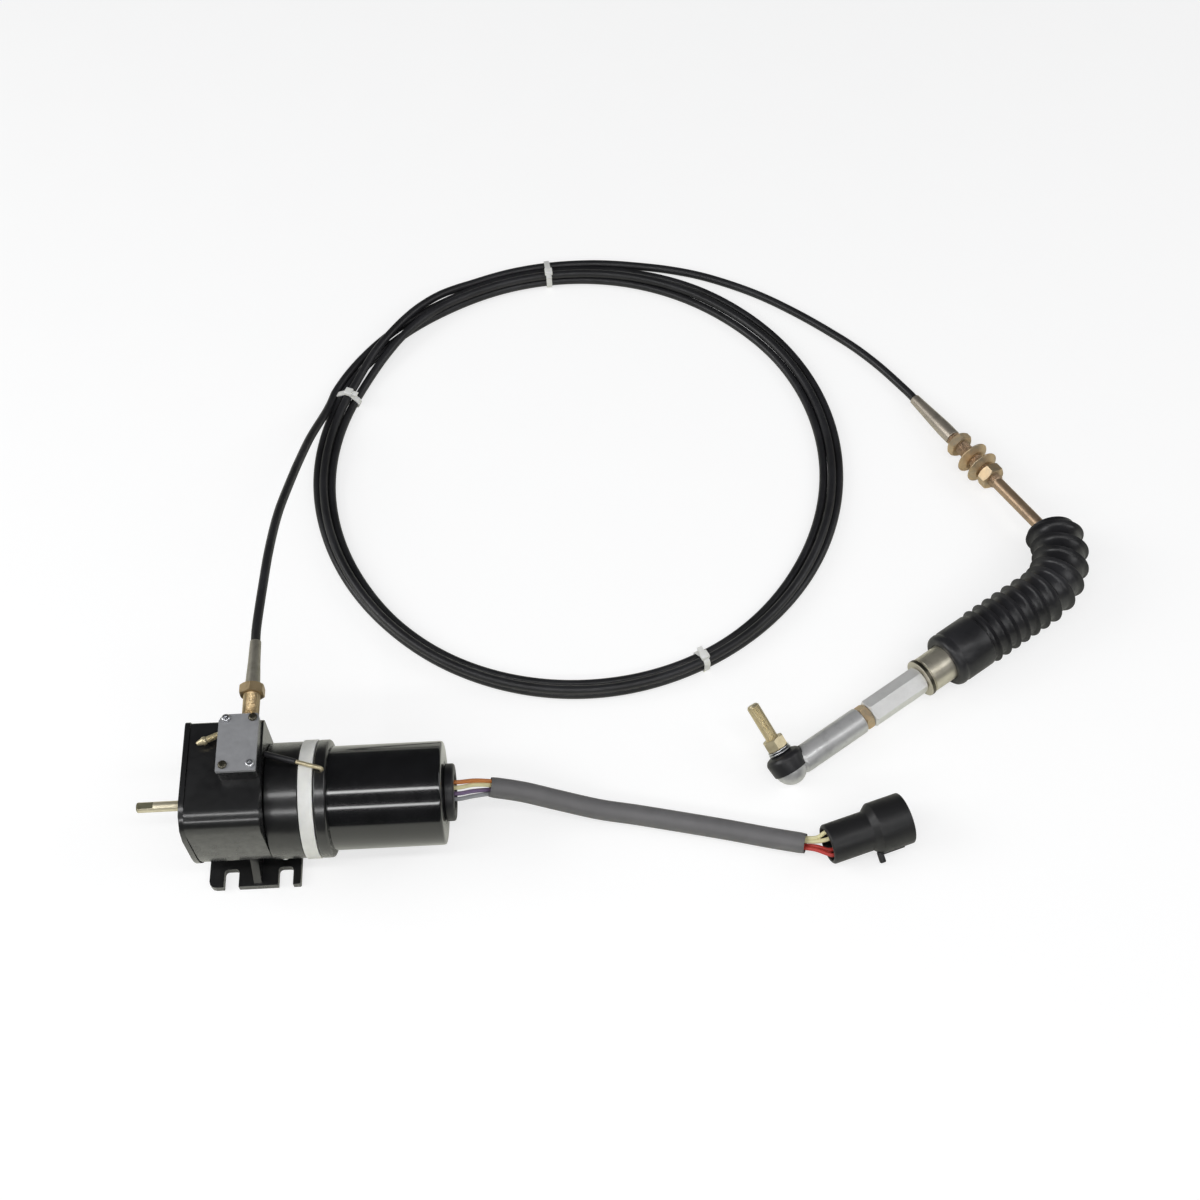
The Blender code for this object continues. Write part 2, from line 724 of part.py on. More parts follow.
def gear_housing():
    surface = black_paint()
    body = as_mesh(
        across_shaft(
            "gear_housing", [housing_outline()], HOUSING_LEFT, HOUSING_RIGHT, surface
        )
    )
    foot, slots = foot_plate()
    boss_outline = rectangle(BOSS_LEFT, BOSS_RIGHT, BOSS_FRONT, BOSS_BACK, BOSS_CORNER)
    boss = as_mesh(
        upright("boss_shape", [boss_outline], HOUSING_TOP - 2 * MM, BOSS_TOP, surface)
    )
    rib_front = -FOOT_REACH + 1.5 * MM
    rib_top = FOOT_THICKNESS + RIB_HEIGHT
    rib_outline = [
        (rib_front, FOOT_THICKNESS / 2),
        (rib_front, FOOT_THICKNESS + 1.5 * MM),
        (-HOUSING_HALF_WIDTH + 5 * MM, rib_top),
        (-HOUSING_HALF_WIDTH + 12 * MM, rib_top),
        (-PEDESTAL_HALF_WIDTH + 6 * MM, FOOT_THICKNESS + 8 * MM),
        (-PEDESTAL_HALF_WIDTH + 6 * MM, FOOT_THICKNESS / 2),
    ]
    pedestal_outline = rectangle(
        -PEDESTAL_HALF_WIDTH,
        PEDESTAL_HALF_WIDTH,
        FOOT_THICKNESS / 2,
        PEDESTAL_HEIGHT,
    )
    pedestal = as_mesh(
        across_shaft(
            "pedestal_shape",
            [pedestal_outline],
            HOUSING_LEFT + 1 * MM,
            HOUSING_RIGHT - 1 * MM,
            surface,
        )
    )
    rib = as_mesh(
        across_shaft(
            "rib_shape",
            [rib_outline],
            RIB_X - RIB_WIDTH / 2,
            RIB_X + RIB_WIDTH / 2,
            surface,
        )
    )
    cavity = as_mesh(
        across_shaft(
            "cavity_shape",
            [housing_outline(HOUSING_WALL)],
            HOUSING_LEFT - 1 * MM,
            HOUSING_RIGHT - HOUSING_WALL,
            surface,
        )
    )
    left = BOSS_LEFT + BOSS_WALL
    right = BOSS_RIGHT - BOSS_WALL
    front = BOSS_FRONT + BOSS_WALL
    back = BOSS_BACK - BOSS_WALL
    gusset_low = BOSS_TOP - GUSSET_HEIGHT
    boss_cavity = as_mesh(
        upright(
            "boss_cavity_shape",
            [rectangle(left, right, front, back)],
            HOUSING_TOP - HOUSING_WALL - 2 * MM,
            gusset_low,
            surface,
        )
    )
    gusset_outline = [
        (left + GUSSET_LEFT, front),
        (right - GUSSET_RIGHT, front),
        (right - GUSSET_RIGHT, front + GUSSET_DEPTH),
        (right, front + GUSSET_DEPTH),
        (right, back - GUSSET_DEPTH),
        (right - GUSSET_RIGHT, back - GUSSET_DEPTH),
        (right - GUSSET_RIGHT, back),
        (left + GUSSET_LEFT, back),
        (left + GUSSET_LEFT, back - GUSSET_DEPTH),
        (left, back - GUSSET_DEPTH),
        (left, front + GUSSET_DEPTH),
        (left + GUSSET_LEFT, front + GUSSET_DEPTH),
    ]
    boss_mouth = as_mesh(
        upright(
            "boss_mouth_shape",
            [gusset_outline],
            gusset_low - 1 * MM,
            BOSS_TOP + 1 * MM,
            surface,
        )
    )
    screw_holes = [
        rod(
            f"screw_hole_shape_{number}",
            COVER_SCREW_SHANK + GAP,
            GUSSET_HEIGHT + 2 * MM,
            Vector((x, y, gusset_low - 1 * MM)),
            Z_AXIS,
            10,
        )
        for number, (x, y) in enumerate(cover_corners(), 1)
    ]
    barrel_room = rod(
        "barrel_room_shape",
        BARREL_RADIUS + GAP,
        FOOT_LENGTH,
        SHAFT_LINE + X_AXIS * (HOUSING_RIGHT + GAP / 3),
        X_AXIS,
        40,
    )
    shaft_bore = rod(
        "shaft_bore_shape",
        OUTPUT_SHAFT_RADIUS + BUSH_WALL + GAP,
        HOUSING_WALL + 2 * MM,
        SHAFT_LINE + X_AXIS * (HOUSING_RIGHT - HOUSING_WALL - 1 * MM),
        X_AXIS,
    )
    hub_seat = rod(
        "hub_seat_shape",
        HUB_RADIUS + GAP,
        BOSS_WALL + HOUSING_HALF_WIDTH - BOSS_BACK + 2 * MM,
        Vector((CORE_X, BOSS_BACK - BOSS_WALL - 1 * MM, CORE_HEIGHT)),
        Y_AXIS,
    )
    side_direction = Vector((math.cos(SIDE_SCREW_HEADING), math.sin(SIDE_SCREW_HEADING), 0))
    side_hole = rod(
        "side_hole_shape",
        SIDE_SCREW_RADIUS + GAP,
        8 * MM,
        SIDE_SCREW_START - side_direction * 2 * MM,
        side_direction,
        12,
    )
    join(body, foot, boss, rib, pedestal)
    cut(body, *slots, cavity, boss_cavity, boss_mouth, *screw_holes)
    cut(body, barrel_room, shaft_bore, hub_seat, side_hole)


def end_plate():
    """The cover over the housing's open left end, with the output pin's bush in its middle."""
    plate = as_mesh(
        across_shaft(
            "end_plate",
            [
                housing_outline(-END_PLATE_RIM, END_PLATE_CORNER),
                circle(OUTPUT_SHAFT_RADIUS + BUSH_WALL + GAP, 24, 0, AXIS_HEIGHT),
            ],
            HOUSING_LEFT - END_PLATE_THICKNESS,
            HOUSING_LEFT - GAP,
            black_paint(),
        )
    )
    spigot = as_mesh(
        across_shaft(
            "spigot_shape",
            [
                housing_outline(HOUSING_WALL + GAP),
                housing_outline(HOUSING_WALL + 3 * MM),
            ],
            HOUSING_LEFT - GAP - 1 * MM,
            HOUSING_LEFT + 3 * MM,
            black_paint(),
        )
    )
    join(plate, spigot)


def cover_corners():
    """The cover's four screws, inset from its corners."""
    return [
        (x, y)
        for x in (BOSS_LEFT + COVER_SCREW_FROM_LEFT, BOSS_RIGHT - COVER_SCREW_FROM_RIGHT)
        for y in (BOSS_FRONT + COVER_SCREW_FROM_FRONT, BOSS_BACK - COVER_SCREW_FROM_BACK)
    ]


def boss_cover():
    low = BOSS_TOP + GAP
    outline = rounded(
        [
            (BOSS_LEFT, BOSS_FRONT, 1 * MM),
            (BOSS_RIGHT, BOSS_FRONT, 1 * MM),
            (BOSS_RIGHT, BOSS_BACK, 2 * MM),
            (BOSS_LEFT + COVER_CHAMFER, BOSS_BACK, 1 * MM),
            (BOSS_LEFT, BOSS_BACK - COVER_CHAMFER, 1 * MM),
        ]
    )
    shank = COVER_SCREW_SHANK
    holes = [circle(shank + GAP, 10, x, y) for x, y in cover_corners()]
    upright("boss_cover", [outline, *holes], low, low + COVER_THICKNESS, zinc())
    for number, (x, y) in enumerate(cover_corners(), 1):
        head_low = COVER_THICKNESS + GAP
        head_top = head_low + COVER_SCREW_HEAD
        profile = [
            (0, head_top),
            (COVER_SCREW_RADIUS * 0.6, head_top),
            (COVER_SCREW_RADIUS, head_low + COVER_SCREW_HEAD * 0.4),
            (COVER_SCREW_RADIUS, head_low),
            (shank, head_low),
            (shank, head_low - COVER_SCREW_LENGTH),
            (0, head_low - COVER_SCREW_LENGTH),
        ]
        origin = Vector((x, y, low))
        turned(f"cover_screw_{number}", profile, zinc(), origin, steps=12)


def gearbox_barrel():
    """The round casting that holds the gears: a floor against the housing and an open right end."""
    inner = BARREL_RADIUS - BARREL_WALL
    bore = OUTPUT_SHAFT_RADIUS + BUSH_WALL + GAP
    profile = [
        (bore, GAP),
        (BARREL_RADIUS - 1 * MM, GAP),
        (BARREL_RADIUS, GAP + 1 * MM),
        (BARREL_RADIUS, BARREL_LENGTH - GAP),
        (inner, BARREL_LENGTH - GAP),
        (inner, BARREL_FLOOR),
        (bore, BARREL_FLOOR),
    ]
    origin = SHAFT_LINE + X_AXIS * HOUSING_RIGHT
    barrel = turned("gearbox_barrel", profile, black_paint(), origin, X_AXIS, 36)
    pin_hole = rod(
        "pin_hole_shape",
        LAY_PIN_RADIUS + GAP,
        BARREL_FLOOR + 2 * MM,
        LAY_LINE + X_AXIS * (HOUSING_RIGHT - 1 * MM),
        X_AXIS,
    )
    cut(barrel, pin_hole)


def spacer_ring():
    inner = BARREL_RADIUS - BARREL_WALL
    edge = 0.8 * MM
    profile = [
        (inner, 0),
        (RING_RADIUS - edge, 0),
        (RING_RADIUS, edge),
        (RING_RADIUS, RING_LENGTH - edge),
        (RING_RADIUS - edge, RING_LENGTH),
        (inner, RING_LENGTH),
    ]
    origin = SHAFT_LINE + X_AXIS * BARREL_RIGHT
    turned("spacer_ring", profile, white_plastic(), origin, X_AXIS, 36)


def motor_flange():
    """The can's mounting flange, with the armature's front bearing bore and the layshaft pin's seat."""
    shaft_bore = ARMATURE_SHAFT_RADIUS + RUNNING
    spigot = CAN_RADIUS - CAN_WALL - GAP
    left = GAP
    profile = [
        (shaft_bore, left),
        (FLANGE_RADIUS, left),
        (FLANGE_RADIUS, FLANGE_THICKNESS),
        (spigot, FLANGE_THICKNESS),
        (spigot, FLANGE_THICKNESS + 3 * MM),
        (spigot - 3 * MM, FLANGE_THICKNESS + 3 * MM),
        (spigot - 3 * MM, FLANGE_THICKNESS),
        (ARMATURE_SHAFT_RADIUS + 5 * MM, FLANGE_THICKNESS),
        (ARMATURE_SHAFT_RADIUS + 4 * MM, FLANGE_THICKNESS + 5 * MM),
        (shaft_bore, FLANGE_THICKNESS + 5 * MM),
    ]
    origin = SHAFT_LINE + X_AXIS * RING_RIGHT
    flange = turned("motor_flange", profile, black_paint(), origin, X_AXIS, 36)
    pin_hole = rod(
        "flange_pin_hole_shape",
        LAY_PIN_RADIUS + GAP,
        FLANGE_THICKNESS + 2 * MM,
        LAY_LINE + X_AXIS * (RING_RIGHT - 1 * MM),
        X_AXIS,
    )
    cut(flange, pin_hole)


def motor_can():
    """The drawn can: open towards the flange, with the rear bearing's cup pressed into its end."""
    inner = CAN_RADIUS - CAN_WALL
    cup = BEARING_RADIUS + GAP
    length = CAN_LENGTH
    floor = length - CAN_WALL
    profile = [
        (inner, GAP),
        (CAN_RADIUS, GAP),
        *arc(CAN_RADIUS - CAN_EDGE, length - CAN_EDGE, CAN_EDGE, 0, math.pi / 2, 2),
        (ARMATURE_SHAFT_RADIUS + 1.5 * MM, length),
        (ARMATURE_SHAFT_RADIUS + 1.5 * MM, floor),
        (cup, floor),
        (cup, floor - BEARING_WIDTH),
        (cup + CAN_WALL, floor - BEARING_WIDTH),
        (cup + CAN_WALL, floor),
        (inner - CAN_WALL, floor),
        (inner, floor - CAN_WALL),
    ]
    origin = SHAFT_LINE + X_AXIS * FLANGE_RIGHT
    turned("motor_can", profile, black_paint(), origin, X_AXIS, 36)


def rear_grommet():
    """The rubber cap on the can's end, where the lead's wires come out."""
    edge = 2 * MM
    profile = [
        (0, GAP),
        (GROMMET_RADIUS, GAP),
        (GROMMET_RADIUS, GROMMET_LENGTH - edge),
        (GROMMET_RADIUS - edge, GROMMET_LENGTH),
        (0, GROMMET_LENGTH),
    ]
    origin = SHAFT_LINE + X_AXIS * CAN_RIGHT
    grommet = turned("rear_grommet", profile, black_rubber(), origin, X_AXIS, 24)
    hole = rod(
        "wire_hole_shape",
        GROMMET_WIRE_HOLE,
        GROMMET_LENGTH,
        WIRE_EXIT - X_AXIS * (GROMMET_LENGTH - 2 * MM),
        X_AXIS,
        16,
    )
    cut(grommet, hole)


def shaft_seal():
    """The bronze bush in the end plate with its dark lip seal round the output pin."""
    bore = OUTPUT_SHAFT_RADIUS + RUNNING
    pin_bore = OUTPUT_PIN_RADIUS + RUNNING
    outer = OUTPUT_SHAFT_RADIUS + BUSH_WALL
    length = END_PLATE_THICKNESS + 6 * MM
    profile = [
        (pin_bore, -SEAL_PROUD),
        (SEAL_RADIUS, -SEAL_PROUD),
        (SEAL_RADIUS, -GAP),
        (outer, -GAP),
        (outer, length),
        (bore, length),
        (bore, 2 * MM),
        (pin_bore, 2 * MM),
    ]
    origin = SHAFT_LINE + X_AXIS * (HOUSING_LEFT - END_PLATE_THICKNESS)
    turned("shaft_seal", profile, black_rubber(), origin, X_AXIS, 18)


def inner_bush():
    profile = rectangle(
        OUTPUT_SHAFT_RADIUS + RUNNING,
        OUTPUT_SHAFT_RADIUS + BUSH_WALL,
        -HOUSING_WALL,
        BARREL_FLOOR,
    )
    origin = SHAFT_LINE + X_AXIS * HOUSING_RIGHT
    turned("inner_bush", profile, bronze(), origin, X_AXIS, 18)


def position_sensor():
    """The ring-shaped sensor that reads the output shaft's angle, held to the end plate's spigot side."""
    left = HOUSING_LEFT + GAP
    sensor = as_mesh(
        across_shaft(
            "position_sensor",
            [
                circle(SENSOR_RADIUS, 28, 0, AXIS_HEIGHT),
                circle(OUTPUT_SHAFT_RADIUS + BUSH_WALL + GAP, 20, 0, AXIS_HEIGHT),
            ],
            left,
            left + SENSOR_LENGTH,
            black_plastic(),
        )
    )
    socket = as_mesh(
        across_shaft(
            "sensor_socket_shape",
            [
                rectangle(
                    -SENSOR_RADIUS / 2,
                    SENSOR_RADIUS / 2,
                    AXIS_HEIGHT - SENSOR_RADIUS - 5 * MM,
                    AXIS_HEIGHT - SENSOR_RADIUS + 4 * MM,
                )
            ],
            left + 1 * MM,
            left + SENSOR_LENGTH - 1 * MM,
            black_plastic(),
        )
    )
    join(sensor, socket)


def gear_outline(teeth, turn):
    """Involute teeth on (y, z): turn is where the first tooth's middle points."""
    pitch = GEAR_MODULE * teeth / 2
    base = pitch * math.cos(PRESSURE_ANGLE)
    root = pitch - DEDENDUM * GEAR_MODULE
    tip = pitch + ADDENDUM * GEAR_MODULE
    half = math.pi / (2 * teeth) - TOOTH_THINNING / (2 * pitch)

    def half_angle(radius):
        lean = math.acos(min(base / radius, 1.0))
        at_pitch = math.tan(PRESSURE_ANGLE) - PRESSURE_ANGLE
        return half + at_pitch - (math.tan(lean) - lean)

    radii = [root, tip] if root > base else [root, base, tip]
    points = []
    for tooth in range(teeth):
        middle = turn + math.tau * tooth / teeth
        flank = [(radius, half_angle(max(radius, base))) for radius in radii]
        for radius, angle in flank:
            points.append(
                (radius * math.cos(middle - angle), radius * math.sin(middle - angle))
            )
        for radius, angle in reversed(flank):
            points.append(
                (radius * math.cos(middle + angle), radius * math.sin(middle + angle))
            )
    return points


def gear_plate(name, teeth, turn, bore, left, right, line, surface):
    """A spur gear between two places on X, round the given line."""
    outlines = [gear_outline(teeth, turn)]
    if bore:
        outlines.append(circle(bore, 16))
    origin = line + X_AXIS * ((left + right) / 2)
    return flat(name, outlines, right - left, surface, origin, X_AXIS, Y_AXIS)


def output_shaft():
    """The shaft that carries the lever and the last gear, with the milled pin outside the end plate."""
    left = HOUSING_LEFT - END_PLATE_THICKNESS
    right = OUTPUT_GEAR_LEFT + OUTPUT_GEAR_WIDTH + 1 * MM
    shoulder = 2.4 * MM
    profile = [
        (0, right - left),
        (OUTPUT_SHAFT_RADIUS - 0.5 * MM, right - left),
        (OUTPUT_SHAFT_RADIUS, right - left - 0.5 * MM),
        (OUTPUT_SHAFT_RADIUS, shoulder),
        (OUTPUT_PIN_RADIUS, shoulder),
        (OUTPUT_PIN_RADIUS, -OUTPUT_PIN_LENGTH + 1 * MM),
        (OUTPUT_PIN_RADIUS - 1 * MM, -OUTPUT_PIN_LENGTH),
        (0, -OUTPUT_PIN_LENGTH),
    ]
    origin = SHAFT_LINE + X_AXIS * left
    shaft = turned("output_shaft", profile, yellow_zinc(), origin, X_AXIS, 18)
    for side in (1, -1):
        reach = 2 * OUTPUT_PIN_RADIUS
        flat_tool = as_mesh(
            across_shaft(
                f"milled_flat_shape_{side}",
                [
                    rectangle(
                        -reach,
                        reach,
                        AXIS_HEIGHT + min(side * OUTPUT_PIN_FLAT, side * reach),
                        AXIS_HEIGHT + max(side * OUTPUT_PIN_FLAT, side * reach),
                    )
                ],
                left - OUTPUT_PIN_LENGTH - 1 * MM,
                left - OUTPUT_PIN_LENGTH + OUTPUT_PIN_MILLED,
                steel(),
            )
        )
        cut(shaft, flat_tool)


def output_gear():
    right = OUTPUT_GEAR_LEFT + OUTPUT_GEAR_WIDTH
    bore = OUTPUT_SHAFT_RADIUS + GAP
    name = "output_gear"
    turn = -math.pi / 2
    gear_plate(name, GEAR_TEETH, turn, bore, OUTPUT_GEAR_LEFT, right, SHAFT_LINE, steel())


def output_lever():
    """The forked lever on the output shaft; its slot drives the pin across the cable's clevis."""
    lean = math.atan2(CORE_REST_Y, CORE_HEIGHT - AXIS_HEIGHT)
    reach = (CORE_HEIGHT - AXIS_HEIGHT) / math.cos(lean)
    slot_half = CORE_PIN_RADIUS + LEVER_SLOT_PLAY
    half = slot_half + LEVER_PRONG
    top = reach + LEVER_SLOT_ABOVE + CORE_PIN_RADIUS
    bottom = reach - LEVER_SLOT_DEPTH
    outline = [
        *arc(0, 0, LEVER_HUB_RADIUS, math.radians(150), math.radians(390), 16),
        (half, bottom),
        (half, top),
        (slot_half, top),
        (slot_half, bottom),
        (-slot_half, bottom),
        (-slot_half, top),
        (-half, top),
        (-half, bottom),
    ]
    side = Vector((0, math.cos(lean), -math.sin(lean)))
    bore = circle(OUTPUT_SHAFT_RADIUS + GAP)
    origin = SHAFT_LINE + X_AXIS * LEVER_X
    flat("output_lever", [outline, bore], LEVER_THICKNESS, steel(), origin, X_AXIS, side)


def lay_gear():
    """The compound gear: the motor turns its large gear, and its pinion turns the output gear."""
    bore = LAY_PIN_RADIUS + RUNNING
    gear = as_mesh(
        gear_plate(
            "lay_gear",
            GEAR_TEETH,
            math.pi / 2,
            bore,
            FIRST_GEAR_LEFT,
            FIRST_GEAR_RIGHT,
            LAY_LINE,
            steel(),
        )
    )
    pinion = as_mesh(
        gear_plate(
            "lay_pinion_shape",
            PINION_TEETH,
            math.pi / 2 + math.pi / PINION_TEETH,
            bore,
            OUTPUT_GEAR_LEFT - PINION_OVERLAP,
            FIRST_GEAR_LEFT + 1 * MM,
            LAY_LINE,
            steel(),
        )
    )
    join(gear, pinion)


def layshaft_pin():
    left = HOUSING_RIGHT + GAP
    length = RING_RIGHT + FLANGE_THICKNESS - left - GAP
    rod("layshaft_pin", LAY_PIN_RADIUS, length, LAY_LINE + X_AXIS * left, X_AXIS, 16)


def armature():
    """The motor's turning parts: shaft with its cut pinion, slotted iron core and commutator."""
    pinion_left = FIRST_GEAR_LEFT - PINION_OVERLAP
    pinion_right = RING_RIGHT - 1 * MM
    shaft_right = CAN_RIGHT - CAN_WALL - GAP
    pinion = as_mesh(
        gear_plate(
            "motor_pinion_shape",
            PINION_TEETH,
            -math.pi / 2 + math.pi / PINION_TEETH,
            0,
            pinion_left,
            pinion_right,
            SHAFT_LINE,
            steel(),
        )
    )
    shaft = rod(
        "armature_shaft",
        ARMATURE_SHAFT_RADIUS,
        shaft_right - pinion_right + 1 * MM,
        SHAFT_LINE + X_AXIS * (pinion_right - 1 * MM),
        X_AXIS,
        20,
    )
    join(shaft, pinion)
    core_left = FLANGE_RIGHT + ARMATURE_START
    core_right = core_left + ARMATURE_LENGTH
    outline = []
    for slot in range(ARMATURE_SLOTS):
        middle = math.tau * slot / ARMATURE_SLOTS
        half_slot = ARMATURE_SLOT_WIDTH / 2 / ARMATURE_RADIUS
        half_pole = math.pi / ARMATURE_SLOTS
        inner = ARMATURE_RADIUS - ARMATURE_SLOT_DEPTH
        outline += [
            (inner * math.cos(middle - half_slot), inner * math.sin(middle - half_slot)),
            (inner * math.cos(middle + half_slot), inner * math.sin(middle + half_slot)),
        ]
        outline += arc(
            0,
            0,
            ARMATURE_RADIUS,
            middle + half_slot,
            middle + 2 * half_pole - half_slot,
            4,
        )
    flat(
        "armature_core",
        [outline, circle(ARMATURE_SHAFT_RADIUS + GAP, 16)],
        ARMATURE_LENGTH,
        copper(),
        SHAFT_LINE + X_AXIS * ((core_left + core_right) / 2),
        X_AXIS,
        Y_AXIS,
    )
    profile = [
        (ARMATURE_SHAFT_RADIUS + GAP, GAP),
        (COMMUTATOR_RADIUS + 2 * MM, GAP),
        (COMMUTATOR_RADIUS + 2 * MM, 2 * MM),
        (COMMUTATOR_RADIUS, 3 * MM),
        (COMMUTATOR_RADIUS, COMMUTATOR_LENGTH),
        (ARMATURE_SHAFT_RADIUS + GAP, COMMUTATOR_LENGTH),
    ]
    origin = SHAFT_LINE + X_AXIS * core_right
    turned("commutator", profile, copper(), origin, X_AXIS, 20)


def magnets():
    outer = CAN_RADIUS - CAN_WALL - GAP
    inner = outer - MAGNET_THICKNESS
    middle_x = FLANGE_RIGHT + ARMATURE_START + ARMATURE_LENGTH / 2
    for name, middle in (("magnet_upper", math.pi / 2), ("magnet_lower", -math.pi / 2)):
        start = middle - MAGNET_SPAN / 2
        end = middle + MAGNET_SPAN / 2
        outline = arc(0, 0, outer, start, end, 12) + arc(0, 0, inner, end, start, 12)
        origin = SHAFT_LINE + X_AXIS * middle_x
        flat(name, [outline], MAGNET_LENGTH, ferrite(), origin, X_AXIS, Y_AXIS)


def brush_holder():
    """The ring behind the armature with its two brushes against the commutator."""
    outer = CAN_RADIUS - CAN_WALL - GAP
    touch = COMMUTATOR_RADIUS + RUNNING
    left = FLANGE_RIGHT + ARMATURE_START + ARMATURE_LENGTH + 5 * MM
    ring = as_mesh(
        across_shaft(
            "brush_holder",
            [
                circle(outer, 32, 0, AXIS_HEIGHT),
                circle(outer - 9 * MM, 24, 0, AXIS_HEIGHT),
            ],
            left,
            left + BRUSH_RING_LENGTH,
            black_plastic(),
        )
    )
    for side in (1, -1):
        ends = sorted((side * touch, side * (outer - 7 * MM)))
        brush = as_mesh(
            across_shaft(
                f"brush_shape_{side}",
                [
                    rectangle(
                        ends[0],
                        ends[1],
                        AXIS_HEIGHT - 4 * MM,
                        AXIS_HEIGHT + 4 * MM,
                    )
                ],
                left + 1 * MM,
                left + BRUSH_RING_LENGTH - 1 * MM,
                black_plastic(),
            )
        )
        join(ring, brush)


def rear_bearing():
    profile = rectangle(
        ARMATURE_SHAFT_RADIUS + RUNNING, BEARING_RADIUS, -BEARING_WIDTH, -GAP
    )
    origin = SHAFT_LINE + X_AXIS * (CAN_RIGHT - CAN_WALL)
    turned("rear_bearing", profile, steel(), origin, X_AXIS, 20)


def side_screw():
    direction = Vector((math.cos(SIDE_SCREW_HEADING), math.sin(SIDE_SCREW_HEADING), 0))
    thread_end = SIDE_SCREW_LENGTH - SIDE_SCREW_CONE
    profile = [
        (0, 0),
        (SIDE_SCREW_RADIUS, 0),
        (SIDE_SCREW_RADIUS, thread_end),
        (SIDE_SCREW_RADIUS + 0.6 * MM, thread_end),
        (SIDE_SCREW_RADIUS + 0.6 * MM, thread_end + 2 * MM),
        (SIDE_SCREW_RADIUS * 0.5, SIDE_SCREW_LENGTH),
        (0, SIDE_SCREW_LENGTH),
    ]
    turned("side_screw", profile, yellow_zinc(), SIDE_SCREW_START, direction, 16)


def bond_lead():
    """The short sleeved lead from the housing over the barrel, and its bare end hooked over the flange."""
    height = AXIS_HEIGHT + RING_RADIUS + BOND_RISE
    start = Vector((HOUSING_RIGHT + 1 * MM, BOND_START_Y, height))
    end = Vector((FLANGE_RIGHT + BOND_RADIUS, BOND_END_Y, height))
    along = (end - start).normalized()
    split = start + along * BOND_SLEEVE_LENGTH
    tube("bond_lead", [start, split], BOND_SLEEVE_RADIUS, black_rubber())
    can_top = AXIS_HEIGHT + CAN_RADIUS
    hook = [
        split + along * GAP,
        end,
        end + Vector((GAP * 2, 0, -2 * MM)),
        Vector((end.x + GAP * 2, end.y, can_top + 2 * GAP)),
    ]
    tube("bond_terminal", hook, BOND_RADIUS, yellow_zinc())


def core_rod():
    """The rod on the cable's core, with the clevis round the lever and the pin across it."""
    surface = steel()
    half = CLEVIS_WIDTH / 2
    slot = LEVER_THICKNESS / 2 + 0.4 * MM
    nose = CORE_REST_Y - CORE_PIN_RADIUS - CLEVIS_NOSE
    web = CORE_REST_Y + CLEVIS_WEB_OFFSET
    back = web + CLEVIS_WEB
    outline = [
        (CORE_X - half, nose),
        (CORE_X - slot, nose),
        (CORE_X - slot, web),
        (CORE_X + slot, web),
        (CORE_X + slot, nose),
        (CORE_X + half, nose),
        (CORE_X + half, back),
        (CORE_X - half, back),
    ]
    clevis = as_mesh(
        upright(
            "core_rod",
            [outline],
            CORE_HEIGHT - CLEVIS_HEIGHT / 2,
            CORE_HEIGHT + CLEVIS_HEIGHT / 2,
            surface,
        )
    )
    pin = rod(
        "clevis_pin_shape",
        CORE_PIN_RADIUS,
        CLEVIS_WIDTH - 1 * MM,
        Vector((CORE_X - half + 0.5 * MM, CORE_REST_Y, CORE_HEIGHT)),
        X_AXIS,
        12,
    )
    stem = rod(
        "core_stem_shape",
        CORE_ROD_RADIUS,
        CORE_ROD_REACH - web - 1 * MM,
        Vector((CORE_X, web + 1 * MM, CORE_HEIGHT)),
        Y_AXIS,
        16,
    )
    join(clevis, pin, stem)


def cable_hub():
    """The threaded hub screwed into the boss, its nut, and the ferrule that grips the cable."""
    line = Vector((CORE_X, 0, CORE_HEIGHT))
    bore = CORE_ROD_RADIUS + RUNNING
    start = BOSS_BACK - BOSS_WALL
    hub = rectangle(bore, HUB_RADIUS, start, HUB_NUT_END - 3 * MM)
    turned("cable_hub", hub, yellow_zinc(), line, Y_AXIS, 20)
    nut_middle = (HUB_END + HUB_NUT_END) / 2
    flat(
        "hub_nut",
        [hexagon(HUB_NUT_FLATS), circle(HUB_RADIUS + GAP)],
        HUB_NUT_LENGTH,
        zinc(),
        line + Y_AXIS * nut_middle,
        Y_AXIS,
        Z_AXIS,
    )
    low = HUB_NUT_END - 3 * MM + GAP
    high = NEAR_FERRULE_END
    blind = CORE_ROD_REACH + CORE_TRAVEL_ROOM
    profile = [
        (bore, low),
        (FERRULE_WIDE, low),
        (FERRULE_WIDE, high - NEAR_FERRULE_LENGTH * 0.45),
        (FERRULE_NARROW, high - NEAR_FERRULE_LENGTH * 0.35),
        (FERRULE_NARROW, high),
        (0, high),
        (0, blind),
        (bore, blind),
    ]
    turned("near_ferrule", profile, zinc(), line, Y_AXIS, 20)


def coil_point(angle_degrees, radius, height):
    angle = math.radians(angle_degrees)
    return COIL_CENTRE + Vector(
        (radius * math.cos(angle), radius * math.sin(angle), height)
    )


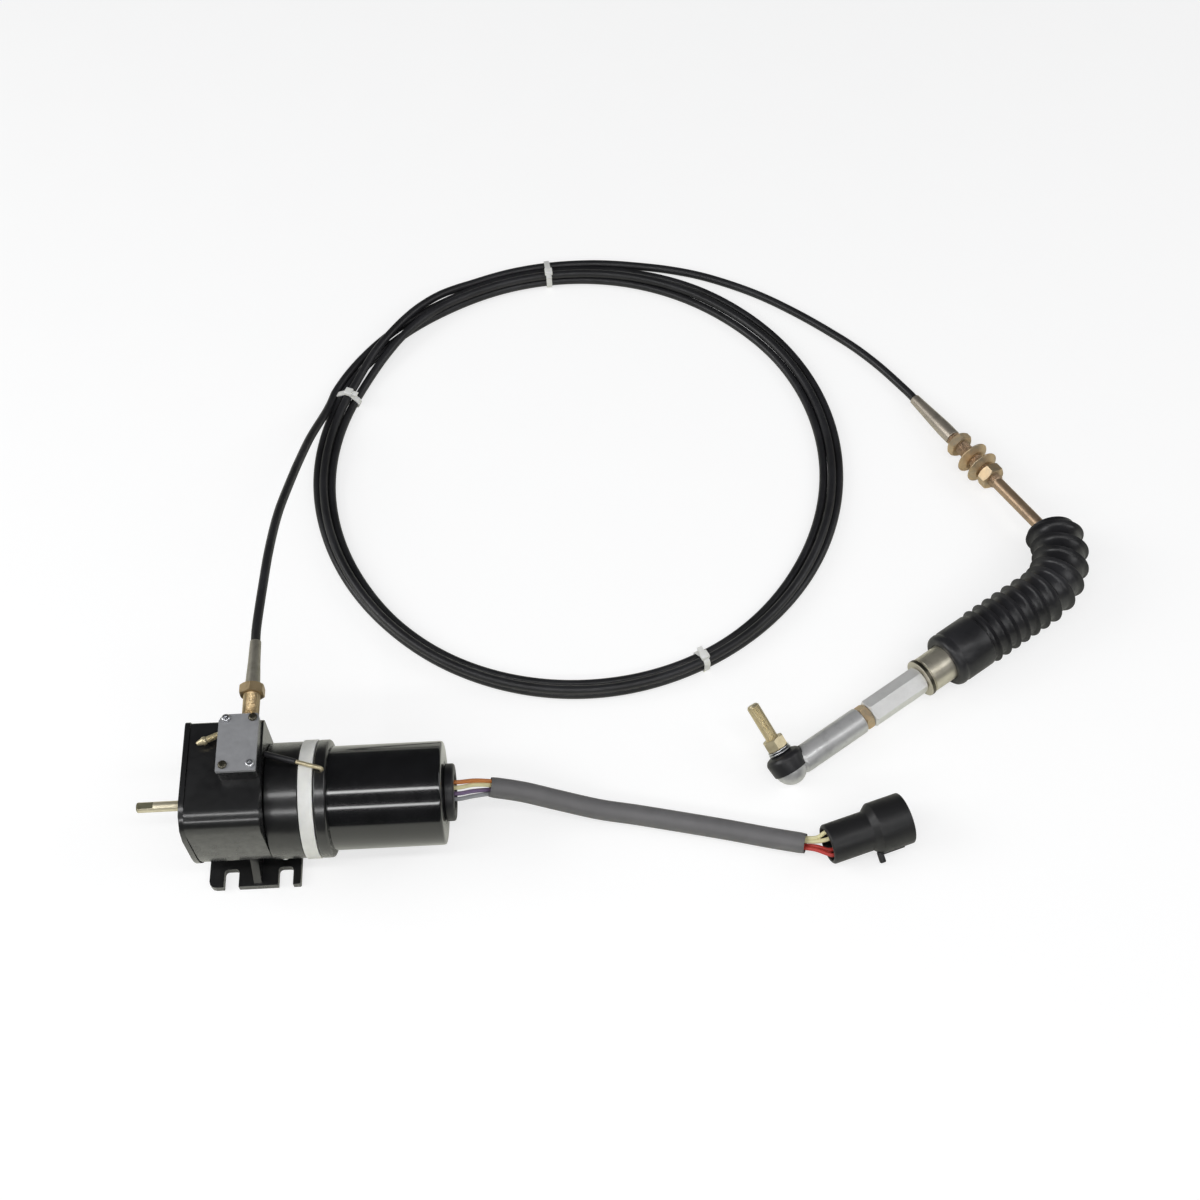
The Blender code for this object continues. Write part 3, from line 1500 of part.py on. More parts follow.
def cable():
    """The black cable: its two free tails and the turned ring that the coiled turns fill."""
    beside = COIL_BESIDE
    low = COIL_BOTTOM + CABLE_RADIUS + 2 * GAP
    start = Vector((CORE_X, NEAR_FERRULE_END + GAP, CORE_HEIGHT))
    near = [start, start + Y_AXIS * 10 * MM]
    near += [Vector(point) * MM for point in NEAR_CABLE_ROUTE]
    near += [coil_point(angle, beside, low) for angle in NEAR_TAIL_ANGLES]
    tube("near_cable", smooth(near, TAIL_SPACING), CABLE_RADIUS, black_rubber(), 1)
    far = [coil_point(angle, beside, low) for angle in FAR_TAIL_ANGLES]
    far += [Vector(point) * MM for point in FAR_CABLE_ROUTE]
    far += [FAR_START - FAR_DIRECTION * 10 * MM, FAR_START - FAR_DIRECTION * GAP]
    tube("far_cable", smooth(far, TAIL_SPACING), CABLE_RADIUS, black_rubber(), 1)
    corner = 4 * MM
    section = [
        (COIL_INNER, COIL_BOTTOM),
        (COIL_OUTER, COIL_BOTTOM),
        (COIL_OUTER, COIL_TOP - corner),
        (COIL_OUTER - corner, COIL_TOP),
        (COIL_INNER + corner, COIL_TOP),
        (COIL_INNER, COIL_TOP - corner),
    ]
    turned("cable_coil", section, black_rubber(), COIL_CENTRE, Z_AXIS, 52)


def cable_ties():
    """The white ties round the coiled turns, the first two also round a tail."""
    for number, angle in enumerate(TIE_ANGLES, 1):
        around = angle > 0
        outer = 2 * GAP + (COIL_BESIDE + CABLE_RADIUS if around else COIL_OUTER)
        inner = COIL_INNER - 3 * GAP
        low = COIL_BOTTOM - GAP
        high = COIL_TOP + GAP
        thick = TIE_THICKNESS
        head = inner + 4 * MM
        ring = [
            (inner - thick, low - thick),
            (outer + thick, low - thick),
            (outer + thick, high + thick),
            (head + TIE_HEAD, high + thick),
            (head + TIE_HEAD, high + TIE_HEAD_HEIGHT),
            (head, high + TIE_HEAD_HEIGHT),
            (head, high + thick),
            (inner - thick, high + thick),
        ]
        hole = rectangle(inner, outer, low, high)
        radial = Vector((math.cos(math.radians(angle)), math.sin(math.radians(angle)), 0))
        clockwise = Vector((radial.y, -radial.x, 0))
        name = f"cable_tie_{number}"
        flat(name, [ring, hole], TIE_WIDTH, white_plastic(), COIL_CENTRE, clockwise, radial)


def far_hub():
    """The far ferrule, the threaded hub with its tube, and the nuts that clamp it to a bracket."""
    ferrule = [
        (0, FAR_FERRULE_LENGTH),
        (FAR_FERRULE_WIDE, FAR_FERRULE_LENGTH),
        (FAR_FERRULE_WIDE, FAR_FERRULE_LENGTH * 0.75),
        (FAR_FERRULE_NARROW, 2 * MM),
        (FAR_FERRULE_NARROW, 0),
        (0, 0),
    ]
    turned("far_ferrule", ferrule, zinc(), FAR_START, FAR_DIRECTION, 20)
    tube_end = FAR_HUB_LENGTH + FAR_TUBE_IN_NECK
    blind = tube_end - FAR_BORE_DEPTH
    hub = [
        (0, GAP),
        (FAR_THREAD_RADIUS, GAP),
        (FAR_THREAD_RADIUS, FAR_THREAD_LENGTH),
        (FAR_TUBE_RADIUS, FAR_THREAD_LENGTH + 1 * MM),
        (FAR_TUBE_RADIUS, tube_end),
        (FAR_BORE, tube_end),
        (FAR_BORE, blind),
        (0, blind),
    ]
    base = FAR_START + FAR_DIRECTION * FAR_FERRULE_LENGTH
    turned("far_hub", hub, yellow_zinc(), base, FAR_DIRECTION, 20)
    ride = FAR_THREAD_RADIUS + GAP
    for name, start, length in (
        ("ferrule_nut", FERRULE_NUT_START, FERRULE_NUT_LENGTH),
        ("lock_nut", LOCK_NUT_START, LOCK_NUT_LENGTH),
    ):
        middle = FAR_START + FAR_DIRECTION * (start + length / 2)
        outlines = [hexagon(FAR_NUT_FLATS), circle(ride)]
        flat(name, outlines, length, zinc(), middle, FAR_DIRECTION)
    for number, start in enumerate(FLANGE_NUT_STARTS, 1):
        origin = FAR_START + FAR_DIRECTION * start
        length = FLANGE_NUT_LENGTH
        profile = [
            (ride, 0),
            (FLANGE_NUT_RADIUS * 0.62, 0),
            (FLANGE_NUT_RADIUS, length * 0.42),
            (FLANGE_NUT_RADIUS, length * 0.58),
            (FLANGE_NUT_RADIUS * 0.62, length),
            (ride, length),
        ]
        turned(f"flange_nut_{number}", profile, yellow_zinc(), origin, FAR_DIRECTION, 18)


def bend_path():
    """The bellows' centreline from the hub's tube to the cuff, in points a few millimetres apart."""
    level = [NECK_START.lerp(BEND_START, i / 3) for i in range(3)]
    first = FAR_HEADING + math.pi / 2
    turn = ROD_HEADING - FAR_HEADING
    bend = arc(
        BEND_CENTRE.x, BEND_CENTRE.y, BELLOWS_BEND_RADIUS, first, first + turn, 40
    )
    level += [Vector((x, y, 0)) for x, y in bend]
    level += [BEND_END.lerp(ROD_START, i / 30) for i in range(1, 31)]
    lengths = [0.0]
    for a, b in zip(level, level[1:]):
        lengths.append(lengths[-1] + (b.xy - a.xy).length)
    whole = lengths[-1]
    rise_in = math.tan(FAR_RISE)
    rise_out = -math.tan(ROD_DROP)
    path = []
    for point, length in zip(level, lengths):
        t = length / whole
        height = (
            NECK_START.z * (2 * t**3 - 3 * t**2 + 1)
            + rise_in * whole * (t**3 - 2 * t**2 + t)
            + ROD_START_HEIGHT * (3 * t**2 - 2 * t**3)
            + rise_out * whole * (t**3 - t**2)
        )
        path.append(Vector((point.x, point.y, height)))
    return path


def path_length(path):
    return sum((b - a).length for a, b in zip(path, path[1:]))


def bellows_profile(bend_length):
    """Outer and inner walls of the bellows laid out straight: (radius, place along the bend)."""
    ribs_start = BELLOWS_NECK_LENGTH + BELLOWS_SHOULDER
    pitch = (bend_length - ribs_start) / BELLOWS_RIBS
    cuff_end = bend_length + CUFF_LENGTH
    wall = BELLOWS_WALL
    neck_bore = FAR_TUBE_RADIUS + GAP
    outer = [
        (BELLOWS_NECK_RADIUS, 0),
        (BELLOWS_NECK_RADIUS, BELLOWS_NECK_LENGTH),
        (BELLOWS_VALLEY, ribs_start),
    ]
    inner = [
        (neck_bore, 0),
        (neck_bore, BELLOWS_NECK_LENGTH + wall),
    ]
    for rib in range(BELLOWS_RIBS):
        start = ribs_start + pitch * rib
        outer += [
            (BELLOWS_VALLEY, start + pitch * 0.2),
            (BELLOWS_PEAK, start + pitch * 0.5),
            (BELLOWS_VALLEY, start + pitch * 0.8),
        ]
        inner += [
            (BELLOWS_VALLEY - wall, start),
            (BELLOWS_PEAK - wall * 1.3, start + pitch * 0.5),
        ]
    groove_end = cuff_end - CUFF_GROOVE_FROM_END
    groove_start = groove_end - CUFF_GROOVE_WIDTH
    low = CUFF_RADIUS - CUFF_GROOVE_DEPTH
    outer += [
        (BELLOWS_VALLEY, bend_length - 0.5 * MM),
        (CUFF_RADIUS, bend_length + 1.5 * MM),
        (CUFF_RADIUS, groove_start),
        (low, groove_start + 0.7 * MM),
        (low, groove_end - 0.7 * MM),
        (CUFF_RADIUS, groove_end),
        (CUFF_RADIUS, cuff_end - 1 * MM),
        (CUFF_RADIUS - 1 * MM, cuff_end),
    ]
    lip_bore = SLEEVE_RADIUS + GAP
    inner += [
        (BELLOWS_VALLEY - wall, bend_length),
        (CUFF_BORE, bend_length + 3 * MM),
        (CUFF_BORE, cuff_end - CUFF_LIP),
        (lip_bore, cuff_end - CUFF_LIP),
        (lip_bore, cuff_end),
    ]
    return outer + list(reversed(inner))


def bellows():
    """A turned bellows bent along its centreline, with the core that runs through it."""
    path = bend_path()
    guide_points = path + [path[-1] + ROD_DIRECTION * (CUFF_LENGTH + 5 * MM)]
    guide = tube("bellows_guide", guide_points, 0, black_rubber())
    guide.data.use_fill_caps = False
    PART.objects.unlink(guide)
    CUTTERS.objects.link(guide)
    guide.hide_render = True
    guide.display_type = "WIRE"
    profile = bellows_profile(path_length(path))
    boot = turned("bellows", profile, black_rubber(), Vector((0, 0, 0)), Z_AXIS, 18)
    boot.matrix_world = Matrix.Identity(4)
    bend = boot.modifiers.new("Bend", "CURVE")
    bend.object = guide
    bend.deform_axis = "POS_Z"
    reach_in = FAR_TUBE_LENGTH * 0.35
    core = [NECK_START - FAR_DIRECTION * reach_in, *path[::4]]
    core += [path[-1], path[-1] + ROD_DIRECTION * (CUFF_LENGTH - SLEEVE_BURIED + 8 * MM)]
    tube("inner_core", core, INNER_CORE_RADIUS, steel(), 1)


def rod_point(along):
    return ROD_START + ROD_DIRECTION * along


def rod_end():
    """The pieces that slide together on the cable's core: sleeve, hex rod, jam nut and ball housing."""
    sleeve_start = CUFF_LENGTH - SLEEVE_BURIED
    shoulder = CUFF_LENGTH - CUFF_LIP - GAP
    sleeve_end = CUFF_LENGTH + SLEEVE_VISIBLE
    ring_start = sleeve_end - SLEEVE_RING_LENGTH
    socket = INNER_CORE_RADIUS + GAP
    sleeve = [
        (socket, sleeve_start),
        (SLEEVE_SHOULDER_RADIUS, sleeve_start),
        (SLEEVE_SHOULDER_RADIUS, shoulder),
        (SLEEVE_RADIUS, shoulder),
        (SLEEVE_RADIUS, ring_start - 1.2 * MM),
        (SLEEVE_RADIUS - 1 * MM, ring_start - 1.2 * MM),
        (SLEEVE_RADIUS - 1 * MM, ring_start),
        (SLEEVE_RING_RADIUS, ring_start),
        (SLEEVE_RING_RADIUS, sleeve_end),
        (0, sleeve_end),
        (0, sleeve_start + INNER_CORE_SOCKET),
        (socket, sleeve_start + INNER_CORE_SOCKET),
    ]
    turned("end_sleeve", sleeve, zinc(), ROD_START, ROD_DIRECTION, 22)
    hex_start = sleeve_end + GAP
    hex_end = hex_start + HEX_ROD_LENGTH
    hexed = as_mesh(
        flat(
            "hex_rod",
            [hexagon(HEX_ROD_FLATS)],
            HEX_ROD_LENGTH,
            zinc(),
            rod_point((hex_start + hex_end) / 2),
            ROD_DIRECTION,
            STUD_DIRECTION,
        )
    )
    stud = rod(
        "rod_stud_shape",
        ROD_STUD_RADIUS,
        ROD_STUD_LENGTH + 1 * MM,
        rod_point(hex_end - 1 * MM),
        ROD_DIRECTION,
    )
    join(hexed, stud)
    nut_start = hex_end + GAP
    flat(
        "jam_nut",
        [hexagon(JAM_NUT_FLATS), circle(ROD_STUD_RADIUS + GAP)],
        JAM_NUT_LENGTH,
        yellow_zinc(),
        rod_point(nut_start + JAM_NUT_LENGTH / 2),
        ROD_DIRECTION,
        STUD_DIRECTION,
    )
    ball_housing(nut_start + JAM_NUT_LENGTH + GAP, hex_end + ROD_STUD_LENGTH)


def ball_housing(shank_start, stud_end):
    """The round head with its ball socket, and the shank that takes the rod's thread."""
    clear = BALL_RADIUS + RUNNING
    mouth_low = math.sqrt(clear**2 - SOCKET_MOUTH**2)
    lip = math.atan2(mouth_low, SOCKET_MOUTH)
    cavity = arc(0, 0, clear, lip, -math.pi / 2, 6)
    outside = arc(0, 0, HEAD_RADIUS, -math.pi / 2, 0, 4)
    profile = [
        *[(max(r, 0.0), h) for r, h in outside[:1]],
        *outside[1:],
        (HEAD_RADIUS, HEAD_TOP),
        (SOCKET_FLARE, HEAD_TOP),
        (SOCKET_MOUTH, mouth_low),
        *cavity[1:-1],
        (0, -clear),
    ]
    profile[0] = (0, -HEAD_RADIUS)
    head = turned(
        "ball_housing", profile, zinc(), BALL_CENTRE, STUD_DIRECTION, 20, ROD_DIRECTION
    )
    shank_length = BALL_FROM_CUFF - clear - 1 * MM - shank_start
    bore_depth = stud_end + 1 * MM - shank_start
    shank_profile = [
        (ROD_STUD_RADIUS + GAP, 0),
        (SHANK_RADIUS - 0.8 * MM, 0),
        (SHANK_RADIUS, 0.8 * MM),
        (SHANK_RADIUS, shank_length - 5 * MM),
        (SHANK_RADIUS - 3.2 * MM, shank_length),
        (0, shank_length),
        (0, bore_depth),
        (ROD_STUD_RADIUS + GAP, bore_depth),
    ]
    shank = turned(
        "shank_shape",
        shank_profile,
        zinc(),
        rod_point(shank_start),
        ROD_DIRECTION,
        18,
        STUD_DIRECTION,
    )
    boot_room = rod(
        "boot_room_shape",
        BOOT_RADIUS + 1 * MM,
        BOOT_TOP,
        BALL_CENTRE + STUD_DIRECTION * HEAD_TOP,
        STUD_DIRECTION,
        20,
    )
    join(head, shank)
    cut(head, boot_room)


def ball_stud():
    """The ball stud with its hex collar, the dust boot round its neck, and the boot's washer and ring."""
    neck_height = math.sqrt(BALL_RADIUS**2 - STUD_NECK_RADIUS**2)
    lip = math.atan2(neck_height, STUD_NECK_RADIUS)
    ball = arc(0, 0, BALL_RADIUS, -math.pi / 2, lip, 9)
    profile = [
        (0, -BALL_RADIUS),
        *ball[1:],
        (STUD_NECK_RADIUS, STUD_HEX_START + 1 * MM),
        (STUD_THREAD_RADIUS, STUD_HEX_START + 1 * MM),
        (STUD_THREAD_RADIUS, STUD_TIP - 1.5 * MM),
        (STUD_THREAD_RADIUS - 1.2 * MM, STUD_TIP),
        (0, STUD_TIP),
    ]
    stud = turned(
        "ball_stud", profile, yellow_zinc(), BALL_CENTRE, STUD_DIRECTION, 16, ROD_DIRECTION
    )
    collar = as_mesh(
        flat(
            "stud_hex_shape",
            [hexagon(STUD_HEX_FLATS)],
            STUD_HEX_LENGTH,
            yellow_zinc(),
            BALL_CENTRE + STUD_DIRECTION * (STUD_HEX_START + STUD_HEX_LENGTH / 2),
            STUD_DIRECTION,
            ROD_DIRECTION,
        )
    )
    join(stud, collar)
    base = HEAD_TOP + GAP
    neck_bore = STUD_NECK_RADIUS + GAP
    wall = BOOT_WALL
    waist = base + (BOOT_TOP - base) * 0.55
    boot = [
        (BOOT_RADIUS, base),
        (BOOT_RADIUS, waist - 1.5 * MM),
        (BOOT_RADIUS - 1.5 * MM, waist),
        (BOOT_NECK_RADIUS, waist + 1.5 * MM),
        (BOOT_NECK_RADIUS, BOOT_TOP),
        (neck_bore, BOOT_TOP),
        (neck_bore, waist + 1.5 * MM - wall),
        (BOOT_RADIUS - 1.5 * MM - wall, waist - wall),
        (BOOT_RADIUS - wall, waist - 1.5 * MM - wall),
        (BOOT_RADIUS - wall, base),
    ]
    turned("dust_boot", boot, black_rubber(), BALL_CENTRE, STUD_DIRECTION, 18)
    washer_low = BOOT_TOP + GAP
    washer = rectangle(
        neck_bore, BOOT_WASHER_RADIUS, washer_low, washer_low + BOOT_WASHER_THICKNESS
    )
    turned("boot_washer", washer, zinc(), BALL_CENTRE, STUD_DIRECTION, 16)
    wire = BOOT_RING_WIRE
    ring_middle = BOOT_NECK_RADIUS + GAP + wire
    ring = circle(wire, 6, ring_middle, BOOT_TOP - wire - GAP)
    turned("boot_ring", ring, steel(), BALL_CENTRE, STUD_DIRECTION, 16)


def electric_lead():
    """The wires out of the grommet, the grey sheath along the surface, and the wires into the plug."""
    sheath = smooth([Vector(point) * MM for point in SHEATH_ROUTE], LEAD_SPACING)
    tube("lead_sheath", sheath, SHEATH_RADIUS, grey_sheath(), 2)
    start_direction = (sheath[1] - sheath[0]).normalized()
    end_direction = (sheath[-1] - sheath[-2]).normalized()
    wires = [
        WIRE_EXIT - X_AXIS * 4 * MM,
        WIRE_EXIT,
        WIRE_EXIT + X_AXIS * 4 * MM,
        sheath[0] - start_direction * 10 * MM,
        sheath[0] - start_direction * 5 * MM,
        sheath[0] - start_direction * 4 * GAP,
    ]
    tube("motor_wires", smooth(wires, 5 * MM), WIRE_BUNDLE_RADIUS, white_plastic(), 2)
    axis = CONNECTOR_DIRECTION
    wires = [
        sheath[-1] + end_direction * 4 * GAP,
        sheath[-1] + end_direction * 5 * MM,
        CONNECTOR_START - axis * 3 * MM,
        CONNECTOR_START,
        CONNECTOR_START + axis * (CONNECTOR_WIRE_DEPTH - 1 * MM),
    ]
    tube("plug_wires", smooth(wires, 5 * MM), WIRE_BUNDLE_RADIUS, white_plastic(), 2)


def connector():
    """The round black plug, stepped up to its open mouth."""
    step_end = CONNECTOR_REAR_LENGTH + CONNECTOR_STEP
    lip_start = CONNECTOR_LENGTH - CONNECTOR_LIP_LENGTH
    floor = CONNECTOR_LENGTH - CONNECTOR_CAVITY_DEPTH
    profile = [
        (CONNECTOR_WIRE_HOLE, 0),
        (CONNECTOR_REAR_RADIUS - 1 * MM, 0),
        (CONNECTOR_REAR_RADIUS, 1 * MM),
        (CONNECTOR_REAR_RADIUS, CONNECTOR_REAR_LENGTH),
        (CONNECTOR_FRONT_RADIUS, step_end),
        (CONNECTOR_FRONT_RADIUS, lip_start),
        (CONNECTOR_LIP_RADIUS, lip_start + 1 * MM),
        (CONNECTOR_LIP_RADIUS, CONNECTOR_LENGTH),
        (CONNECTOR_CAVITY_RADIUS, CONNECTOR_LENGTH),
        (CONNECTOR_CAVITY_RADIUS, floor),
        (0, floor),
        (0, CONNECTOR_WIRE_DEPTH),
        (CONNECTOR_WIRE_HOLE, CONNECTOR_WIRE_DEPTH),
    ]
    turned(
        "connector", profile, black_plastic(), CONNECTOR_START, CONNECTOR_DIRECTION, 24
    )


def build():
    gear_housing()
    end_plate()
    boss_cover()
    gearbox_barrel()
    spacer_ring()
    motor_flange()
    motor_can()
    rear_grommet()
    shaft_seal()
    inner_bush()
    position_sensor()
    output_shaft()
    output_gear()
    output_lever()
    lay_gear()
    layshaft_pin()
    armature()
    magnets()
    brush_holder()
    rear_bearing()
    side_screw()
    bond_lead()
    core_rod()
    cable_hub()
    cable()
    cable_ties()
    far_hub()
    bellows()
    rod_end()
    ball_stud()
    electric_lead()
    connector()


clear_scene()
PART = collection("throttle_motor")
CUTTERS = collection("shaping_helpers", hidden=True)
build()
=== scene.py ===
"""Looks of a throttle motor with a push-pull cable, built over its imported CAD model."""

import math

import bmesh
import bpy
from bpy.props import (
    FloatProperty,
    FloatVectorProperty,
    IntProperty,
    PointerProperty,
)
from mathutils import Matrix, Vector


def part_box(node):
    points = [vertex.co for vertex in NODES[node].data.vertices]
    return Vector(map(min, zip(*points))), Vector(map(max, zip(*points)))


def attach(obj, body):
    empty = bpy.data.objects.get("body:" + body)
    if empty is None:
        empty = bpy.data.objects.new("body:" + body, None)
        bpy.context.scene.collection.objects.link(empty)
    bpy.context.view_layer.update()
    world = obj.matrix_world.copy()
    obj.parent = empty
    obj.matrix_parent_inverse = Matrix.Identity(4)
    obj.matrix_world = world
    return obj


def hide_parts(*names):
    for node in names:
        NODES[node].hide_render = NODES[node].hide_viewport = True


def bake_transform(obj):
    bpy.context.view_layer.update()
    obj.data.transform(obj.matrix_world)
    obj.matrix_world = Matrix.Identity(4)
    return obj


bl_info = {
    "name": "Throttle Motor",
    "version": (1, 0, 0),
    "blender": (4, 5, 0),
    "location": "View3D > Sidebar > Throttle Motor",
    "description": "Builds the visible surfaces of a geared throttle motor and its cable",
    "category": "Add Mesh",
}

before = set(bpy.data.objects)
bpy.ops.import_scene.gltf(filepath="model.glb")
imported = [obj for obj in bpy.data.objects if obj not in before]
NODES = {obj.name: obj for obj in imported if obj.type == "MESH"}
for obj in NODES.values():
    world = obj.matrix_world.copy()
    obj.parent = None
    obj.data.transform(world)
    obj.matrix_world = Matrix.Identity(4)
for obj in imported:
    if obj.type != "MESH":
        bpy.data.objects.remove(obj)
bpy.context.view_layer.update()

MM = 0.001
X_AXIS = Vector((1, 0, 0))
Y_AXIS = Vector((0, 1, 0))
Z_AXIS = Vector((0, 0, 1))
AXIS_HEIGHT = 46 * MM
CABLE_LINE = Vector((9, 0, 98)) * MM
CABLE_EXIT = CABLE_LINE + Vector((0, 99.8, 0)) * MM
COIL_CENTRE = Vector((245.5, 311.5, 0.0)) * MM
FAR_START = Vector((535.6, 365.5, 7.0)) * MM
FAR_DIRECTION = Vector((0.464467, -0.880940, 0.090633))
NECK_START = Vector((0.612702, 0.219264, 0.022045))
BEND_START = Vector((0.615500, 0.213956, 0.022045))
BEND_CENTRE = Vector((0.573040, 0.191570, 0.022045))
BEND_END = Vector((0.598547, 0.150908, 0.022045))
ROD_START = Vector((0.545602, 0.117696, 0.0232))
ROD_DIRECTION = Vector((-0.846036, -0.530718, -0.050605))
BALL_CENTRE = Vector((0.391793, 0.021211, 0.014))
STUD_DIRECTION = Vector((-0.479626, 0.716256, 0.506888))
PLUG_START = Vector((410.7, -43.9, 20.2)) * MM
PLUG_DIRECTION = Vector((0.955793, 0.294040, 0.0))
WIRE_EXIT = Vector((147.6, 0.0, 50.0)) * MM
CURVE_STEPS = 12
BEND_RADIUS = 48 * MM
BEND_FIRST_HEADING = -62.2
BEND_LAST_HEADING = -147.9


# Sizes and colours that a user would change


class CableSizes(bpy.types.PropertyGroup):
    diameter: FloatProperty(
        name="Cable diameter",
        description="Outside diameter of the black cable",
        default=0.007,
        subtype="DISTANCE",
        unit="LENGTH",
    )
    sheath_diameter: FloatProperty(
        name="Sheath diameter",
        description="Outside diameter of the grey sheath over the motor's wires",
        default=0.015,
        subtype="DISTANCE",
        unit="LENGTH",
    )
    wire_diameter: FloatProperty(
        name="Wire diameter",
        description="Outside diameter of each insulated wire",
        default=0.0031,
        subtype="DISTANCE",
        unit="LENGTH",
    )
    tie_width: FloatProperty(
        name="Tie width",
        description="Width of the white ties round the coil",
        default=0.0048,
        subtype="DISTANCE",
        unit="LENGTH",
    )


class MotorSizes(bpy.types.PropertyGroup):
    can_radius: FloatProperty(
        name="Can radius",
        description="Outside radius of the motor's drawn can",
        default=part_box("motor_can")[1].y,
        subtype="DISTANCE",
        unit="LENGTH",
    )
    barrel_radius: FloatProperty(
        name="Barrel radius",
        description="Outside radius of the gearbox barrel",
        default=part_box("gearbox_barrel")[1].y,
        subtype="DISTANCE",
        unit="LENGTH",
    )
    edge_radius: FloatProperty(
        name="Casting edge",
        description="Rounding on the edges of the cast housing",
        default=0.0009,
        subtype="DISTANCE",
        unit="LENGTH",
    )
    steps: IntProperty(
        name="Steps",
        description="Steps in a full turn of each round piece",
        default=96,
        min=16,
        max=256,
    )


class BellowsSizes(bpy.types.PropertyGroup):
    ribs: IntProperty(
        name="Ribs",
        description="Number of folds in the rubber bellows",
        default=12,
        min=3,
        max=40,
    )
    peak_radius: FloatProperty(
        name="Peak radius",
        description="Radius at the top of each fold",
        default=0.0224,
        subtype="DISTANCE",
        unit="LENGTH",
    )
    valley_radius: FloatProperty(
        name="Valley radius",
        description="Radius at the bottom of each fold",
        default=0.0188,
        subtype="DISTANCE",
        unit="LENGTH",
    )


def colour_property(name, description, default):
    return FloatVectorProperty(
        name=name, description=description, default=default, subtype="COLOR", min=0, max=1
    )


class Finishes(bpy.types.PropertyGroup):
    paint: colour_property("Paint", "Gloss black paint", (0.0045, 0.0046, 0.0052))
    rubber: colour_property("Rubber", "Cable jacket and bellows", (0.012, 0.012, 0.0135))
    plastic: colour_property("Plastic", "Moulded connector", (0.014, 0.014, 0.015))
    nylon: colour_property("Nylon", "White ring and ties", (0.83, 0.83, 0.8))
    sheath: colour_property("Sheath", "Grey sheath", (0.155, 0.152, 0.155))
    zinc: colour_property("Zinc", "Bright zinc plate", (0.74, 0.75, 0.78))
    yellow_zinc: colour_property("Yellow zinc", "Yellow passivation", (0.82, 0.66, 0.42))
    steel: colour_property("Steel", "Machined steel", (0.55, 0.56, 0.58))
    bronze: colour_property("Bronze", "Sintered bushes", (0.55, 0.36, 0.16))
    copper: colour_property("Copper", "Windings", (0.7, 0.3, 0.15))
    floor: colour_property("Floor", "Plain pale floor", (0.93, 0.93, 0.93))


# Finishes


def new_material(name):
    made = bpy.data.materials.new(name)
    made.use_nodes = True
    return made, made.node_tree.nodes["Principled BSDF"]


def add(tree, kind, **values):
    node = tree.nodes.new(kind)
    for key, value in values.items():
        setattr(node, key, value)
    return node


def noise(tree, scale, detail=4.0, rough=0.55):
    """Noise on object coordinates."""
    place = add(tree, "ShaderNodeTexCoord")
    made = add(tree, "ShaderNodeTexNoise")
    made.inputs["Scale"].default_value = scale
    made.inputs["Detail"].default_value = detail
    made.inputs["Roughness"].default_value = rough
    tree.links.new(place.outputs["Object"], made.inputs["Vector"])
    return made.outputs["Fac"]


def ramp(tree, factor, stops):
    made = add(tree, "ShaderNodeValToRGB")
    made.color_ramp.elements[0].position = stops[0][0]
    made.color_ramp.elements[0].color = (*stops[0][1], 1)
    made.color_ramp.elements[1].position = stops[-1][0]
    made.color_ramp.elements[1].color = (*stops[-1][1], 1)
    for position, colour in stops[1:-1]:
        made.color_ramp.elements.new(position).color = (*colour, 1)
    tree.links.new(factor, made.inputs["Fac"])
    return made.outputs["Color"]


def spread_value(tree, factor, low, high):
    made = add(tree, "ShaderNodeMapRange")
    made.inputs["From Min"].default_value = 0.3
    made.inputs["From Max"].default_value = 0.7
    made.inputs["To Min"].default_value = low
    made.inputs["To Max"].default_value = high
    tree.links.new(factor, made.inputs["Value"])
    return made.outputs["Result"]


def bump(tree, shader, heights, strength, distance):
    made = add(tree, "ShaderNodeBump")
    made.inputs["Strength"].default_value = strength
    made.inputs["Distance"].default_value = distance
    tree.links.new(heights, made.inputs["Height"])
    tree.links.new(made.outputs["Normal"], shader.inputs["Normal"])


def scaled(colour, factor):
    return tuple(min(1.0, c * factor) for c in colour)


def mixed(a, b, share):
    return tuple(x * (1 - share) + y * share for x, y in zip(a, b))


def coat_paint(name, colour, rough, grain, depth, coat):
    """Gloss paint: a clear coat over an uneven base, with the faint skin of a dried spray."""
    made, shader = new_material(name)
    tree = made.node_tree
    cloud = noise(tree, 45, 3)
    tree.links.new(
        ramp(tree, cloud, [(0.35, scaled(colour, 0.8)), (0.65, scaled(colour, 1.5))]),
        shader.inputs["Base Color"],
    )
    tree.links.new(
        spread_value(tree, noise(tree, 160, 6), rough * 0.8, rough * 1.35),
        shader.inputs["Roughness"],
    )
    shader.inputs["Specular IOR Level"].default_value = 0.25
    shader.inputs["Coat Weight"].default_value = 1.0
    shader.inputs["Coat Roughness"].default_value = coat
    shader.inputs["Coat IOR"].default_value = 1.65
    bump(tree, shader, noise(tree, grain, 3), 0.35, depth)
    return made


def soft_rubber(name, colour, rough, grain=900, depth=0.00006):
    """Black rubber with a soft sheen, a little dust in its tone and a fine skin."""
    made, shader = new_material(name)
    tree = made.node_tree
    dust = noise(tree, 28, 5)
    tree.links.new(
        ramp(tree, dust, [(0.35, colour), (0.75, scaled(colour, 2.2))]),
        shader.inputs["Base Color"],
    )
    tree.links.new(
        spread_value(tree, noise(tree, 240, 4), rough * 0.85, rough * 1.25),
        shader.inputs["Roughness"],
    )
    bump(tree, shader, noise(tree, grain, 5), 0.5, depth)
    return made


